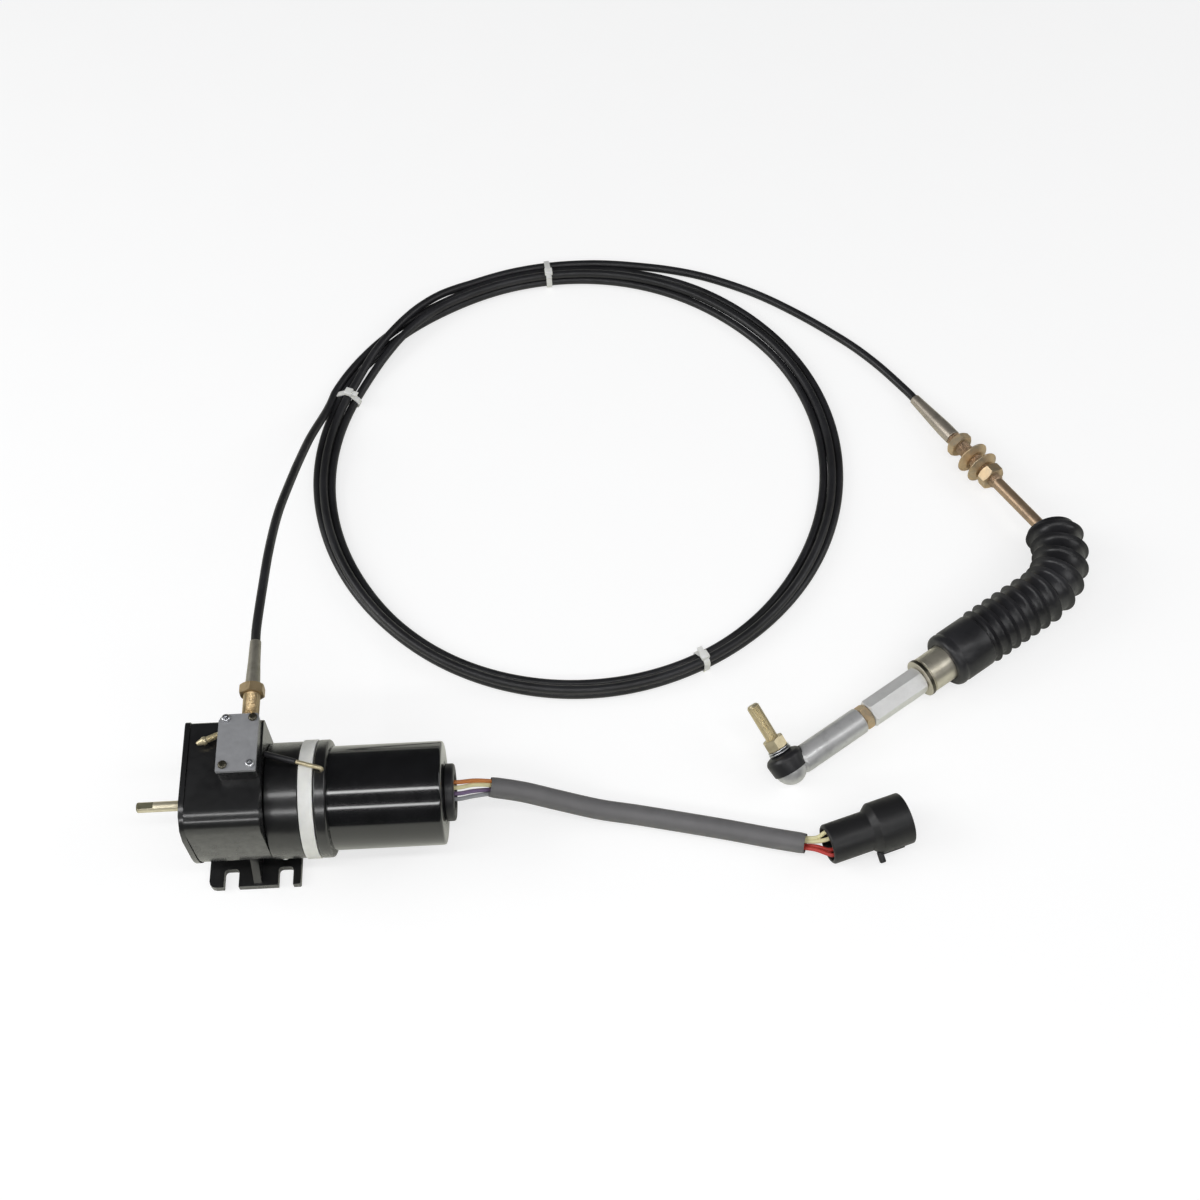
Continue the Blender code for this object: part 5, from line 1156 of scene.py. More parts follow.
class PIECE_OT_output(bpy.types.Operator):
    """Builds the milled output pin and its seal in the left end cover"""

    bl_idname = "throttle.output"
    bl_label = "Output pin"

    def execute(self, context):
        low, inside = ends_of("output_shaft")
        length = inside - low
        radius = 3.75 * MM
        profile = eased(
            [
                (0, 0),
                (radius - 0.7 * MM, 0),
                (radius, 0.7 * MM),
                (radius, length - 55 * MM),
                (5 * MM, length - 54 * MM),
                (5 * MM, length),
                (0, length),
            ],
            0.4 * MM,
        )
        flat = 2.9 * MM
        deep = 12 * MM
        cutters = [
            ("DIFFERENCE", block((4 * MM, 12 * MM, 2 * deep), (side * (flat + 2 * MM), 0, 0)))
            for side in (1, -1)
        ]
        matrix = heading_to(Vector((low, 0, AXIS_HEIGHT)), X_AXIS, Z_AXIS)
        pin = piece(
            "milled_pin",
            combined(spun(profile, 64), *cutters),
            "bright_pin",
            "output",
            matrix,
            ("output_shaft",),
        )
        pin.data.materials.append(finish("olive_zinc"))
        for face in pin.data.polygons:
            if face.center.x < low + deep:
                face.material_index = 1
        seal_low, seal_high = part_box("shaft_seal")
        reach = seal_high.x - seal_low.x
        seal = seal_high.y
        lips = eased(
            [
                (radius + 0.15 * MM, 0.9 * MM),
                (radius + 1.6 * MM, 0.2 * MM),
                (seal - 2.4 * MM, 0.9 * MM),
                (seal - 1.8 * MM, 0),
                (seal, 0),
                (seal, reach),
                (radius + 0.9 * MM, reach),
                (radius + 0.9 * MM, 1.4 * MM),
            ],
            0.4 * MM,
        )
        piece(
            "lip_seal",
            spun(lips, 72),
            "black_rubber",
            "housing",
            heading_to(Vector((seal_low.x, 0, AXIS_HEIGHT)), X_AXIS, Z_AXIS),
            ("shaft_seal",),
        )
        return {"FINISHED"}


class PIECE_OT_boss(bpy.types.Operator):
    """Builds the plate and screws on the boss, the side screw and the bond lead"""

    bl_idname = "throttle.boss"
    bl_label = "Boss cover"

    def execute(self, context):
        obj = piece(
            "boss_plate",
            copy_of("boss_cover"),
            "dull_zinc",
            "housing",
            None,
            ("boss_cover",),
        )
        ease_edges(obj, 0.35 * MM, 2, False)
        centre = sum(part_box("boss_cover"), Vector()) / 2
        for number in range(1, 5):
            low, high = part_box(f"cover_screw_{number}")
            middle = (low + high) / 2
            aside = middle - centre
            matrix = Matrix.Translation(Vector((middle.x, middle.y, high.z - 1.8 * MM)))
            turn = Matrix.Rotation(0.5 + number * 0.9, 4, "Z")
            # The two screws on one diagonal take the dark zinc as painted shade: all four are the
            # same bright zinc screws.
            piece(
                f"cover_head_{number}",
                pan_head(3.1 * MM, 0, 1.8 * MM),
                "band_zinc" if aside.x * aside.y > 0 else "zinc",
                "housing",
                matrix @ turn,
                (f"cover_screw_{number}",),
            )
        start = Vector((-8.65, 27.8, 100.0)) * MM
        heading = math.radians(202.5)
        direction = Vector((math.cos(heading), math.sin(heading), 0))
        profile = [
            (0, 0.6 * MM),
            *threaded(2.4 * MM, 0.6 * MM, 11.6 * MM, 0.8 * MM, 0.32 * MM),
            (2.4 * MM, 12.2 * MM),
            (3.0 * MM, 12.9 * MM),
            (3.0 * MM, 14.7 * MM),
            (2.6 * MM, 15.2 * MM),
            (1.2 * MM, 19.4 * MM),
            (0, 19.4 * MM),
        ]
        piece(
            "gold_side_screw",
            spun(profile, 40),
            "champagne",
            "housing",
            heading_to(start, direction, Z_AXIS),
            ("side_screw",),
        )
        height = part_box("bond_lead")[0].z + 2.0 * MM
        begin = Vector((19 * MM, 15 * MM, height))
        end = Vector((58.1 * MM, 2 * MM, height))
        along = (end - begin).normalized()
        covered = 23 * MM
        split = begin + along * covered
        sleeve = [(0, 0), (2.0 * MM, 0), (2.0 * MM, covered), (0, covered)]
        piece(
            "dark_sleeve",
            spun(eased(sleeve, 0.4 * MM), 40),
            "black_rubber",
            "housing",
            heading_to(begin, along, Z_AXIS),
            ("bond_lead",),
        )
        hook = [
            split + along * 0.4 * MM,
            split.lerp(end, 0.6),
            end - along * 1.2 * MM,
            end + Vector((0.3, 0, -0.9)) * MM,
            Vector((58.7 * MM, 2 * MM, height - 3 * MM)),
            Vector((58.7 * MM, 2 * MM, height - 6.8 * MM)),
        ]
        cord_curve(
            "gold_hook",
            smooth(hook, 1 * MM),
            1.5 * MM,
            "champagne",
            "housing",
            ("bond_terminal",),
        )
        return {"FINISHED"}


class PIECE_OT_hub(bpy.types.Operator):
    """Builds the threaded hub, nut and ferrule that carry the cable behind the boss"""

    bl_idname = "throttle.hub"
    bl_label = "Cable hub"

    def execute(self, context):
        line = heading_to(CABLE_LINE, Y_AXIS, Z_AXIS)
        low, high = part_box("cable_hub")
        bore = 2.9 * MM
        profile = [
            (bore, low.y + 0.2 * MM),
            *threaded(6 * MM, low.y + 0.2 * MM, high.y - 0.5 * MM, 1.25 * MM, 0.5 * MM),
            (bore, high.y - 0.5 * MM),
        ]
        piece(
            "gold_hub",
            spun(profile, 64),
            "yellow_zinc",
            "housing",
            line,
            ("cable_hub",),
        )
        low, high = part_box("hub_nut")
        piece(
            "gold_hub_nut",
            hex_nut(16.4 * MM, low.y + 3 * MM, low.y + 10.6 * MM, 6.05 * MM, 0.35),
            "dark_gold",
            "housing",
            line,
            ("hub_nut",),
        )
        low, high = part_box("near_ferrule")
        start = low.y - 4 * MM
        end = high.y - 2.9 * MM
        profile = eased(
            [
                (0, 84 * MM),
                (bore, 84 * MM),
                (bore, low.y),
                (4.6 * MM, low.y),
                (5.3 * MM, start),
                (5.1 * MM, start + 8 * MM),
                (4.4 * MM, start + 22 * MM),
                (4.0 * MM, end),
                (3.6 * MM, end),
                (3.6 * MM, end - 2 * MM),
                (0, end - 2 * MM),
            ],
            0.5 * MM,
            3,
        )
        piece(
            "crimped_near_ferrule",
            spun(profile, 64),
            "warm_zinc",
            "housing",
            line,
            ("near_ferrule",),
        )
        return {"FINISHED"}


class PIECE_OT_far_hub(bpy.types.Operator):
    """Builds the far ferrule, its threaded hub and the four nuts on it"""

    bl_idname = "throttle.far_hub"
    bl_label = "Far hub"

    def execute(self, context):
        line = heading_to(FAR_START, FAR_DIRECTION, Z_AXIS)
        ferrule = eased(
            [
                (0, 2 * MM),
                (3.6 * MM, 2 * MM),
                (3.6 * MM, 0),
                (4.4 * MM, 0),
                (4.5 * MM, 2 * MM),
                (5.2 * MM, 16 * MM),
                (6.4 * MM, 39.7 * MM),
                (6.4 * MM, 53 * MM),
                (0, 53 * MM),
            ],
            0.6 * MM,
            3,
        )
        piece(
            "crimped_far_ferrule",
            spun(ferrule, 64),
            "grey_tan",
            "housing",
            line,
            ("far_ferrule",),
        )
        hub = [
            (0, 53.3 * MM),
            *threaded(6 * MM, 53.3 * MM, 111 * MM, 1.25 * MM, 0.5 * MM),
            (5 * MM, 111.6 * MM),
            (5 * MM, 170.5 * MM),
            (0, 170.5 * MM),
        ]
        piece(
            "gold_far_hub",
            spun(hub, 64),
            "brown_zinc",
            "housing",
            line,
            ("far_hub",),
        )
        for node, low, high, turn in (("ferrule_nut", 58, 65, 0.0), ("lock_nut", 98, 107, 0.22)):
            piece(
                f"plated_{node}",
                hex_nut(19 * MM, low * MM, high * MM, 6.05 * MM, 0.35),
                "tan_zinc",
                "housing",
                line @ Matrix.Rotation(turn, 4, "Z"),
                (node,),
            )
        for number, low in enumerate((75 * MM, 87.5 * MM), 1):
            high = low + 7.5 * MM
            start = (6.05 * MM, (low + high) / 2)
            corners = [
                (6.05 * MM, low),
                (8.8 * MM, low),
                (14.2 * MM, low + 3.4 * MM),
                (14.2 * MM, high - 3.4 * MM),
                (8.8 * MM, high),
                (6.05 * MM, high),
            ]
            lens = eased([start, *corners, start], 0.35 * MM, 3)[:-1]
            piece(
                f"gold_flange_nut_{number}",
                spun(lens, 72),
                "tan_zinc",
                "housing",
                line,
                (f"flange_nut_{number}",),
            )
        return {"FINISHED"}


# Pieces swept along a bent line


def stations(path, places):
    """(point, direction) at each distance along the path, which runs straight on at its ends."""
    lengths = lengths_along(path)
    ways = [
        (path[min(i + 1, len(path) - 1)] - path[max(i - 1, 0)]).normalized()
        for i in range(len(path))
    ]
    found = []
    for place in places:
        if place <= 0:
            found.append((path[0] + ways[0] * place, ways[0]))
            continue
        if place >= lengths[-1]:
            found.append((path[-1] + ways[-1] * (place - lengths[-1]), ways[-1]))
            continue
        k = max(i for i, length in enumerate(lengths[:-1]) if length <= place)
        share = (place - lengths[k]) / (lengths[k + 1] - lengths[k])
        way = ways[k].lerp(ways[k + 1], share).normalized()
        found.append((path[k].lerp(path[k + 1], share), way))
    return found


def bent(path, profile, steps, lean=None):
    """A profile of (radius, distance along the path), turned round the path as a closed skin.

    lean gives, at a distance, how far a ring's centre is moved and how far it is turned level.
    """
    mesh = bmesh.new()
    rings = []
    for (radius, place), (point, way) in zip(profile, stations(path, [s for _, s in profile])):
        if lean:
            shift, turn = lean(place)
            point = point + shift
            way = Matrix.Rotation(turn, 3, "Z") @ way
        matrix = heading_to(point, way, Z_AXIS)
        made = bmesh.ops.create_circle(
            mesh, cap_ends=False, segments=steps, radius=max(radius, 0.02 * MM), matrix=matrix
        )
        rings.append(made["verts"])
    pairs = list(zip(rings, rings[1:]))
    if profile[0][0] > 0 and profile[-1][0] > 0:
        pairs.append((rings[-1], rings[0]))
    for a, b in pairs:
        for i in range(steps):
            j = (i + 1) % steps
            mesh.faces.new((a[i], a[j], b[j], b[i]))
    for ring, (radius, _) in ((rings[0], profile[0]), (rings[-1], profile[-1])):
        if radius == 0:
            middle = ring[0].co.lerp(ring[steps // 2].co, 0.5)
            bmesh.ops.pointmerge(mesh, verts=ring, merge_co=middle)
    return tidy(mesh)


def bend_path():
    """The bellows' line from the hub's tube to the cuff, bent level and eased in height."""
    level = [NECK_START.lerp(BEND_START, i / 3) for i in range(3)]
    first = math.radians(BEND_FIRST_HEADING) + math.pi / 2
    turn = math.radians(BEND_LAST_HEADING - BEND_FIRST_HEADING)
    for i in range(41):
        angle = first + turn * i / 40
        out = Vector((math.cos(angle), math.sin(angle), 0)) * BEND_RADIUS
        level.append(Vector((BEND_CENTRE.x, BEND_CENTRE.y, 0)) + out)
    end = Vector((BEND_END.x, BEND_END.y, 0))
    level += [end.lerp(ROD_START, i / 30) for i in range(1, 31)]
    lengths = lengths_along([point.xy for point in level])
    whole = lengths[-1]
    rise_in = math.tan(math.radians(5.2)) * whole
    rise_out = ROD_DIRECTION.z / ROD_DIRECTION.xy.length * whole
    path = []
    for point, length in zip(level, lengths):
        height = cubic(length / whole, NECK_START.z, rise_in, ROD_START.z, rise_out)
        path.append(Vector((point.x, point.y, height)))
    return path


# (share of the pitch, share of the rise) of one fold's outside
FOLD = (
    (0.0, 0.0),
    (0.2, 0.02),
    (0.33, 0.16),
    (0.41, 0.46),
    (0.46, 0.86),
    (0.49, 1.0),
    (0.51, 1.0),
    (0.54, 0.86),
    (0.59, 0.46),
    (0.67, 0.16),
    (0.8, 0.02),
)


class PIECE_OT_bellows(bpy.types.Operator):
    """Builds the ribbed rubber bellows round its bend, with its cuff"""

    bl_idname = "throttle.bellows"
    bl_label = "Bellows"

    def execute(self, context):
        sizes = context.scene.bellows_sizes
        path = bend_path()
        whole = lengths_along(path)[-1]
        neck = 5 * MM
        ribs_start = 11 * MM
        low = sizes.valley_radius
        rise = sizes.peak_radius - low
        wall = 1.8 * MM
        outer = [
            (5.3 * MM, 0.5 * MM),
            (6.0 * MM, 0),
            (8.1 * MM, 0),
            (8.5 * MM, 0.4 * MM),
            (8.5 * MM, neck - 0.6 * MM),
            (9.1 * MM, neck + 0.1 * MM),
            (16.6 * MM, ribs_start - 1.9 * MM),
        ]
        inner = [(5.3 * MM, neck + wall)]
        edges = []
        for rib in range(sizes.ribs + 1):
            share = rib / sizes.ribs
            share += 0.05 * math.sin(math.pi * share)
            edges.append(ribs_start + (whole - ribs_start) * share)

        def lean(place):
            rising = min(max((place - neck) / (ribs_start - neck), 0), 1)
            falling = min(max((place - ribs_start) / (64 * MM), 0), 1)
            share = rising * (1 - falling * falling * (3 - 2 * falling))
            return Vector((2, 4, 0)) * MM * share, math.radians(-20) * share

        for start, stop in zip(edges, edges[1:]):
            pitch = stop - start
            outer += [(low + rise * part, start + pitch * share) for share, part in FOLD]
            inner += [
                (low - wall, start),
                (low + rise * 0.75 - wall, start + pitch * 0.4),
                (low + rise * 0.75 - wall, start + pitch * 0.6),
            ]
        cuff = 21.3 * MM
        end = whole + 34 * MM
        outer += [
            (low, whole - 0.2 * MM),
            (cuff - 1.2 * MM, whole + 0.6 * MM),
            (cuff - 0.3 * MM, whole + 1.2 * MM),
            (cuff, whole + 2.2 * MM),
            (cuff, end - 9.4 * MM),
            (cuff - 0.6 * MM, end - 8.4 * MM),
            (cuff - 0.7 * MM, end - 7.4 * MM),
            (cuff - 0.3 * MM, end - 6.4 * MM),
            (cuff, end - 5.4 * MM),
            (cuff - 0.1 * MM, end - 3.4 * MM),
            (cuff - 0.8 * MM, end - 1.4 * MM),
            (cuff - 2.0 * MM, end - 0.3 * MM),
            (cuff - 3.2 * MM, end),
        ]
        inner += [
            (low - wall, whole),
            (cuff - wall, whole + 3 * MM),
            (cuff - wall, end - 2.5 * MM),
            (14.7 * MM, end - 2.5 * MM),
            (14.7 * MM, end - 0.3 * MM),
            (15.1 * MM, end),
        ]
        start = NECK_START + FAR_DIRECTION * 8 * MM
        skin_between(
            "ribbed_bellows",
            bent(path, outer + inner[::-1], 72, lean),
            "bellows_rubber",
            ("bellows",),
        )
        line = smooth([NECK_START - FAR_DIRECTION * 19.25 * MM, *path[::4], path[-1]], 4 * MM)
        line.append(ROD_START + ROD_DIRECTION * 16 * MM)
        run = lengths_along(line)[-1]
        skin_between(
            "core_wire",
            bent(line, core_profile(line, run), 16),
            "steel",
            ("inner_core",),
        )
        return {"FINISHED"}


def core_profile(line, run):
    """A straight wire's section with a ring at each of the line's points, so that it can bend."""
    rings = [(2.3 * MM, s) for s in lengths_along(line)]
    return [(0, 0), *rings, (0, run)]


def skin_between(name, mesh, surface, stands_for):
    """A piece between bodies, made with its transform baked into its mesh; it is parented to no
    body.
    """
    obj = bpy.data.objects.new(name, data_of(name, mesh))
    obj.data.materials.append(finish(surface))
    bpy.context.scene.collection.objects.link(obj)
    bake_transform(obj)
    return stand_in(obj, stands_for)


class PIECE_OT_rod_end(bpy.types.Operator):
    """Builds the sleeve, hex rod and jam nut behind the ball joint"""

    bl_idname = "throttle.rod_end"
    bl_label = "Rod end"

    def execute(self, context):
        line = heading_to(ROD_START, ROD_DIRECTION, STUD_DIRECTION)
        sleeve = eased(
            [
                (2.7 * MM, 10 * MM),
                (2.7 * MM, 8 * MM),
                (18.6 * MM, 8 * MM),
                (18.6 * MM, 31.2 * MM),
                (14.3 * MM, 31.2 * MM),
                (14.3 * MM, 52.8 * MM),
                (13.3 * MM, 52.8 * MM),
                (13.3 * MM, 54 * MM),
                (14.9 * MM, 54 * MM),
                (14.9 * MM, 57.5 * MM),
                (0, 57.5 * MM),
            ],
            0.6 * MM,
            3,
        )
        sleeve += [(0, 22 * MM), (2.7 * MM, 22 * MM)]
        piece(
            "zinc_sleeve",
            spun(sleeve, 96),
            "sleeve_zinc",
            "rod_end",
            line,
            ("end_sleeve",),
        )
        band = ring_profile(15.0 * MM, 13.6 * MM, 54.2 * MM, 57.3 * MM, 0.5 * MM)
        piece("dark_band", spun(band, 96), "band_zinc", "rod_end", line)
        rod_low = 57.8 * MM
        rod_high = 107.8 * MM
        thread = [
            (0, rod_high - 1 * MM),
            *threaded(5 * MM, rod_high - 1 * MM, rod_high + 17 * MM, 1 * MM, 0.45 * MM),
            (0, rod_high + 17 * MM),
        ]
        body = hex_nut(19 * MM, rod_low, rod_high, 0, 0.4)
        piece(
            "zinc_hex_rod",
            combined(body, ("UNION", spun(thread, 40))),
            "hex_zinc",
            "rod_end",
            line,
            ("hex_rod",),
        )
        piece(
            "gold_jam_nut",
            hex_nut(17 * MM, rod_high + 0.3 * MM, rod_high + 7.3 * MM, 5.05 * MM, 0.4),
            "tan_zinc",
            "rod_end",
            line @ Matrix.Rotation(0.35, 4, "Z"),
            ("jam_nut",),
        )
        return {"FINISHED"}


class PIECE_OT_ball_joint(bpy.types.Operator):
    """Builds the ball joint's housing, its stud, and the boot with its washer and ring"""

    bl_idname = "throttle.ball_joint"
    bl_label = "Ball joint"

    def execute(self, context):
        axis = heading_to(BALL_CENTRE, STUD_DIRECTION, ROD_DIRECTION)
        shank_line = heading_to(ROD_START, ROD_DIRECTION, STUD_DIRECTION)
        clear = 8.35 * MM
        mouth = 7.1 * MM
        mouth_low = math.sqrt(clear**2 - mouth**2)
        lip = math.degrees(math.atan2(mouth_low, mouth))
        head_radius = 12.4 * MM
        head = corner_arc(0, 0, head_radius, -90, 0, 12)
        head[0] = (0, -head_radius)
        head += [
            (head_radius, 5.7 * MM),
            (head_radius - 0.7 * MM, 6.5 * MM),
            (9.6 * MM, 6.5 * MM),
            (mouth, mouth_low),
            *corner_arc(0, 0, clear, lip, -90, 12)[1:-1],
            (0, -clear),
        ]
        shank_start = 115.4 * MM
        shank_end = (BALL_CENTRE - ROD_START).dot(ROD_DIRECTION) - clear - 0.35 * MM
        radius = 10.3 * MM
        shank = eased(
            [
                (5.3 * MM, shank_start + 1 * MM),
                (5.3 * MM, shank_start),
                (radius - 0.8 * MM, shank_start),
                (radius, shank_start + 0.8 * MM),
                (radius, shank_end - 1.8 * MM),
                (radius - 1.3 * MM, shank_end),
                (0, shank_end),
            ],
            1.2 * MM,
            4,
        )
        bore = 125.8 * MM
        shank += [(0, bore), (5.3 * MM, bore)]
        room = [(0, 6.5 * MM), (14.6 * MM, 6.5 * MM), (14.6 * MM, 22.5 * MM), (0, 22.5 * MM)]
        forged = combined(
            moved(spun(head, 96), axis),
            ("UNION", moved(spun(shank, 96), shank_line)),
            ("DIFFERENCE", moved(spun(room, 96), axis)),
        )
        piece("forged_head", forged, "cast_zinc", "rod_end", None, ("ball_housing",))
        ball_radius = 8 * MM
        neck = 4.6 * MM
        top = math.degrees(math.acos(neck / ball_radius))
        ball = corner_arc(0, 0, ball_radius, -90, top, 18)
        ball[0] = (0, -ball_radius)
        stud = [
            *ball,
            (neck, 18.4 * MM),
            *threaded(4.85 * MM, 24.6 * MM, 53.6 * MM, 1 * MM, 0.42 * MM),
            (3.6 * MM, 54.7 * MM),
            (0, 54.7 * MM),
        ]
        collar = hex_nut(15.4 * MM, 17.4 * MM, 25.9 * MM, 0, 0.45)
        piece(
            "gold_stud",
            moved(combined(spun(stud, 64), ("UNION", collar)), Matrix.Rotation(0.26, 4, "Z")),
            "champagne",
            "ball_stud",
            axis,
            ("ball_stud",),
        )
        skirt = [
            (10.0 * MM, 11.05 * MM),
            (11.4 * MM, 10.4 * MM),
            (12.3 * MM, 8.8 * MM),
            (12.6 * MM, 6.6 * MM),
            (12.5 * MM, -1.4 * MM),
            (13.3 * MM, -1.2 * MM),
            (13.9 * MM, 4.4 * MM),
            (14.3 * MM, 9.2 * MM),
            (12.7 * MM, 11.6 * MM),
            (11.2 * MM, 12.25 * MM),
        ]
        collar_web = [
            skirt[-1],
            (9.6 * MM, 12.9 * MM),
            (7.1 * MM, 13.6 * MM),
            (7.0 * MM, 15.9 * MM),
            (4.9 * MM, 16.0 * MM),
            (4.9 * MM, 12.6 * MM),
            (8.6 * MM, 11.7 * MM),
            skirt[0],
        ]
        for name, profile, bodies, low, high, stands_for in (
            ("rubber_boot", skirt, ("rod_end", "boot_tilt"), 5.0, 10.6, ("dust_boot",)),
            ("rubber_boot_neck", collar_web, ("boot_tilt", "boot_swing"), 12.3, 13.9, ()),
        ):
            skin_between(
                name,
                moved(spun(eased(profile, 1.0 * MM, 3), 72), axis),
                "black_rubber",
                stands_for,
            )
        piece(
            "zinc_washer",
            spun(ring_profile(8.6 * MM, 4.95 * MM, 16.3 * MM, 17.1 * MM, 0.25 * MM), 72),
            "zinc",
            "boot_swing",
            axis,
            ("boot_washer",),
        )
        wire = circle_points(0.8 * MM, 12, 8.15 * MM, 14.8 * MM)
        piece(
            "boot_spring",
            spun(wire, 72),
            "steel",
            "boot_swing",
            axis,
            ("boot_ring",),
        )
        return {"FINISHED"}


# Name, finish, place across the bundle (aside, up) and sag, both in millimetres
MOTOR_WIRES = (
    ("cream", "wire_cream", (-0.6, 2.4), (0.0, 0.6, 0.8)),
    ("orange", "wire_orange", (-3.3, 3.2), (0.0, 0.8, 0.8)),
    ("violet", "wire_violet", (0.8, -1.9), (0.0, -0.4, -0.4)),
    ("grey", "wire_grey", (3.6, -2.6), (0.0, -1.2, -0.8)),
)
PLUG_WIRES = (
    ("plug_cream", "wire_cream", (-3.0, 2.4), (0.0, 0.8, 0.6)),
    ("plug_pale", "wire_cream", (-1.0, 1.6), (0.0, 0.2, 0.4)),
    ("plug_scarlet", "wire_red", (1.2, -1.6), (0.0, 0.0, 0.4)),
    ("plug_red", "wire_red", (3.4, -0.6), (0.0, -0.8, 0.6)),
)
GROMMET_FAN = 1.35
GROMMET_SHIFT = 0.9
PLUG_FAN = 2.4


def sheath_path():
    return smooth([Vector(point) * MM for point in SHEATH_ROUTE], 4 * MM)


def spread_from(point, direction, offset):
    """A point beside a line, offset across it in millimetres."""
    side = direction.cross(Z_AXIS).normalized()
    up = side.cross(direction)
    return point + (side * offset[0] + up * offset[1]) * MM


def lay_wires(rows, node, radius, route):
    """Lays the wires of one bundle. route gives a wire's points from its place and its sag."""
    for index, (name, surface, place, sag) in enumerate(rows):
        cord_curve(
            f"wire_{name}",
            smooth(route(place, Vector(sag) * MM), 2.5 * MM),
            radius,
            surface,
            "housing",
            (node,) if index == 0 else (),
        )


class PIECE_OT_lead(bpy.types.Operator):
    """Lays the grey sheath and the insulated wires at both of its ends"""

    bl_idname = "throttle.lead"
    bl_label = "Electric lead"

    def execute(self, context):
        sizes = context.scene.cable_sizes
        path = sheath_path()
        run = lengths_along(path)[-1]
        radius = sizes.sheath_diameter / 2
        outer = [(radius, s) for s in lengths_along(path)[1:-1]]
        bore = radius - 0.9 * MM
        section = [
            (0, 12 * MM),
            (bore, 12 * MM),
            (bore, 0.3 * MM),
            (radius - 0.4 * MM, 0),
            *outer,
            (radius - 0.4 * MM, run),
            (bore, run - 0.3 * MM),
            (bore, run - 12 * MM),
            (0, run - 12 * MM),
        ]
        piece(
            "grey_tube",
            bent(path, section, 40),
            "grey_sheath",
            "housing",
            None,
            ("lead_sheath",),
        )
        start_way = (path[1] - path[0]).normalized()
        end_way = (path[-1] - path[-2]).normalized()

        def from_grommet(place, sag):
            fan = (place[0] * GROMMET_FAN + GROMMET_SHIFT, place[1] * GROMMET_FAN)
            return [
                spread_from(WIRE_EXIT - X_AXIS * 3 * MM, X_AXIS, fan),
                spread_from(WIRE_EXIT + X_AXIS * 4 * MM, X_AXIS, fan),
                spread_from(WIRE_EXIT.lerp(path[0], 0.55), start_way, place) + sag,
                spread_from(path[0] + start_way * 3 * MM, start_way, place),
                spread_from(path[0] + start_way * 11 * MM, start_way, place),
            ]

        def to_plug(place, sag):
            fan = (place[0] * PLUG_FAN, place[1] * PLUG_FAN)
            return [
                spread_from(path[-1] - end_way * 11 * MM, end_way, place),
                spread_from(path[-1] - end_way * 2 * MM, end_way, place),
                spread_from(path[-1].lerp(PLUG_START, 0.5), end_way, place) + sag,
                spread_from(PLUG_START + PLUG_DIRECTION * 1 * MM, PLUG_DIRECTION, fan),
                spread_from(PLUG_START + PLUG_DIRECTION * 7 * MM, PLUG_DIRECTION, fan),
            ]

        wire = sizes.wire_diameter / 2
        lay_wires(MOTOR_WIRES, "motor_wires", wire, from_grommet)
        lay_wires(PLUG_WIRES, "plug_wires", wire, to_plug)
        return {"FINISHED"}


class PIECE_OT_connector(bpy.types.Operator):
    """Builds the stepped round plug with its latch and its terminals"""

    bl_idname = "throttle.connector"
    bl_label = "Connector"

    def execute(self, context):
        line = heading_to(PLUG_START, PLUG_DIRECTION, Z_AXIS)
        shell = eased(
            [
                (0, 8 * MM),
                (11.6 * MM, 8 * MM),
                (11.6 * MM, 0),
                (13.4 * MM, 0),
                (14.6 * MM, 1.2 * MM),
                (14.6 * MM, 31.5 * MM),
                (18.9 * MM, 36.5 * MM),
                (18.9 * MM, 61 * MM),
                (15.8 * MM, 61 * MM),
                (15.8 * MM, 37 * MM),
                (12.5 * MM, 37 * MM),
                (12.5 * MM, 53 * MM),
                (0, 53 * MM),
            ],
            0.8 * MM,
            3,
        )
        hole = [(0, 44 * MM), (2.0 * MM, 44 * MM), (2.0 * MM, 54 * MM), (0, 54 * MM)]
        cuts = []
        for x, y in ((4.6, 4.6), (-4.6, 4.6), (4.6, -4.6), (-4.6, -4.6)):
            place = Matrix.Translation(Vector((x, y, 0)) * MM)
            cuts.append(("DIFFERENCE", moved(spun(hole, 24), place)))
        piece(
            "round_plug",
            combined(spun(shell, 96), *cuts),
            "black_plastic",
            "housing",
            line,
            ("connector",),
        )
        fin = block((8.4 * MM, 4.2 * MM, 4.2 * MM), (20.9 * MM, 0, 35.4 * MM))
        strip = block((1.4 * MM, 4.2 * MM, 18 * MM), (18.9 * MM, 0, 45 * MM))
        tab = joined(rounded_edges(fin, 0.9 * MM), rounded_edges(strip, 0.5 * MM))
        turn = Matrix.Rotation(math.radians(118), 4, "Z")
        piece("plug_latch", moved(tab, turn), "black_plastic", "housing", line)
        return {"FINISHED"}


HIDDEN_FINISHES = {
    "inner_bush": "bronze",
    "position_sensor": "black_plastic",
    "output_gear": "steel",
    "output_lever": "steel",
    "lay_gear": "steel",
    "layshaft_pin": "steel",
    "armature_shaft": "steel",
    "armature_core": "copper",
    "commutator": "copper",
    "magnet_upper": "ferrite",
    "magnet_lower": "ferrite",
    "brush_holder": "black_plastic",
    "rear_bearing": "steel",
    "core_rod": "steel",
}


class PIECE_OT_works(bpy.types.Operator):
    """Finishes the gears, lever and motor parts inside the casing"""

    bl_idname = "throttle.works"
    bl_label = "Inner works"

    def execute(self, context):
        for node, surface in HIDDEN_FINISHES.items():
            obj = NODES[node]
            if not obj.material_slots:
                obj.data.materials.append(None)
            for slot in obj.material_slots:
                slot.link = "OBJECT"
                slot.material = finish(surface)
        return {"FINISHED"}


class PIECE_OT_cords(bpy.types.Operator):
    """Gathers the names of the lead's wires and plug pieces in a list that nothing uses"""

    bl_idname = "throttle.cords"
    bl_label = "Cord facts"

    def execute(self, context):
        on_lead = [f"wire_{name}" for name, *_ in (*MOTOR_WIRES, *PLUG_WIRES)]
        on_lead += ["round_plug", "plug_latch"]
        return {"FINISHED"}


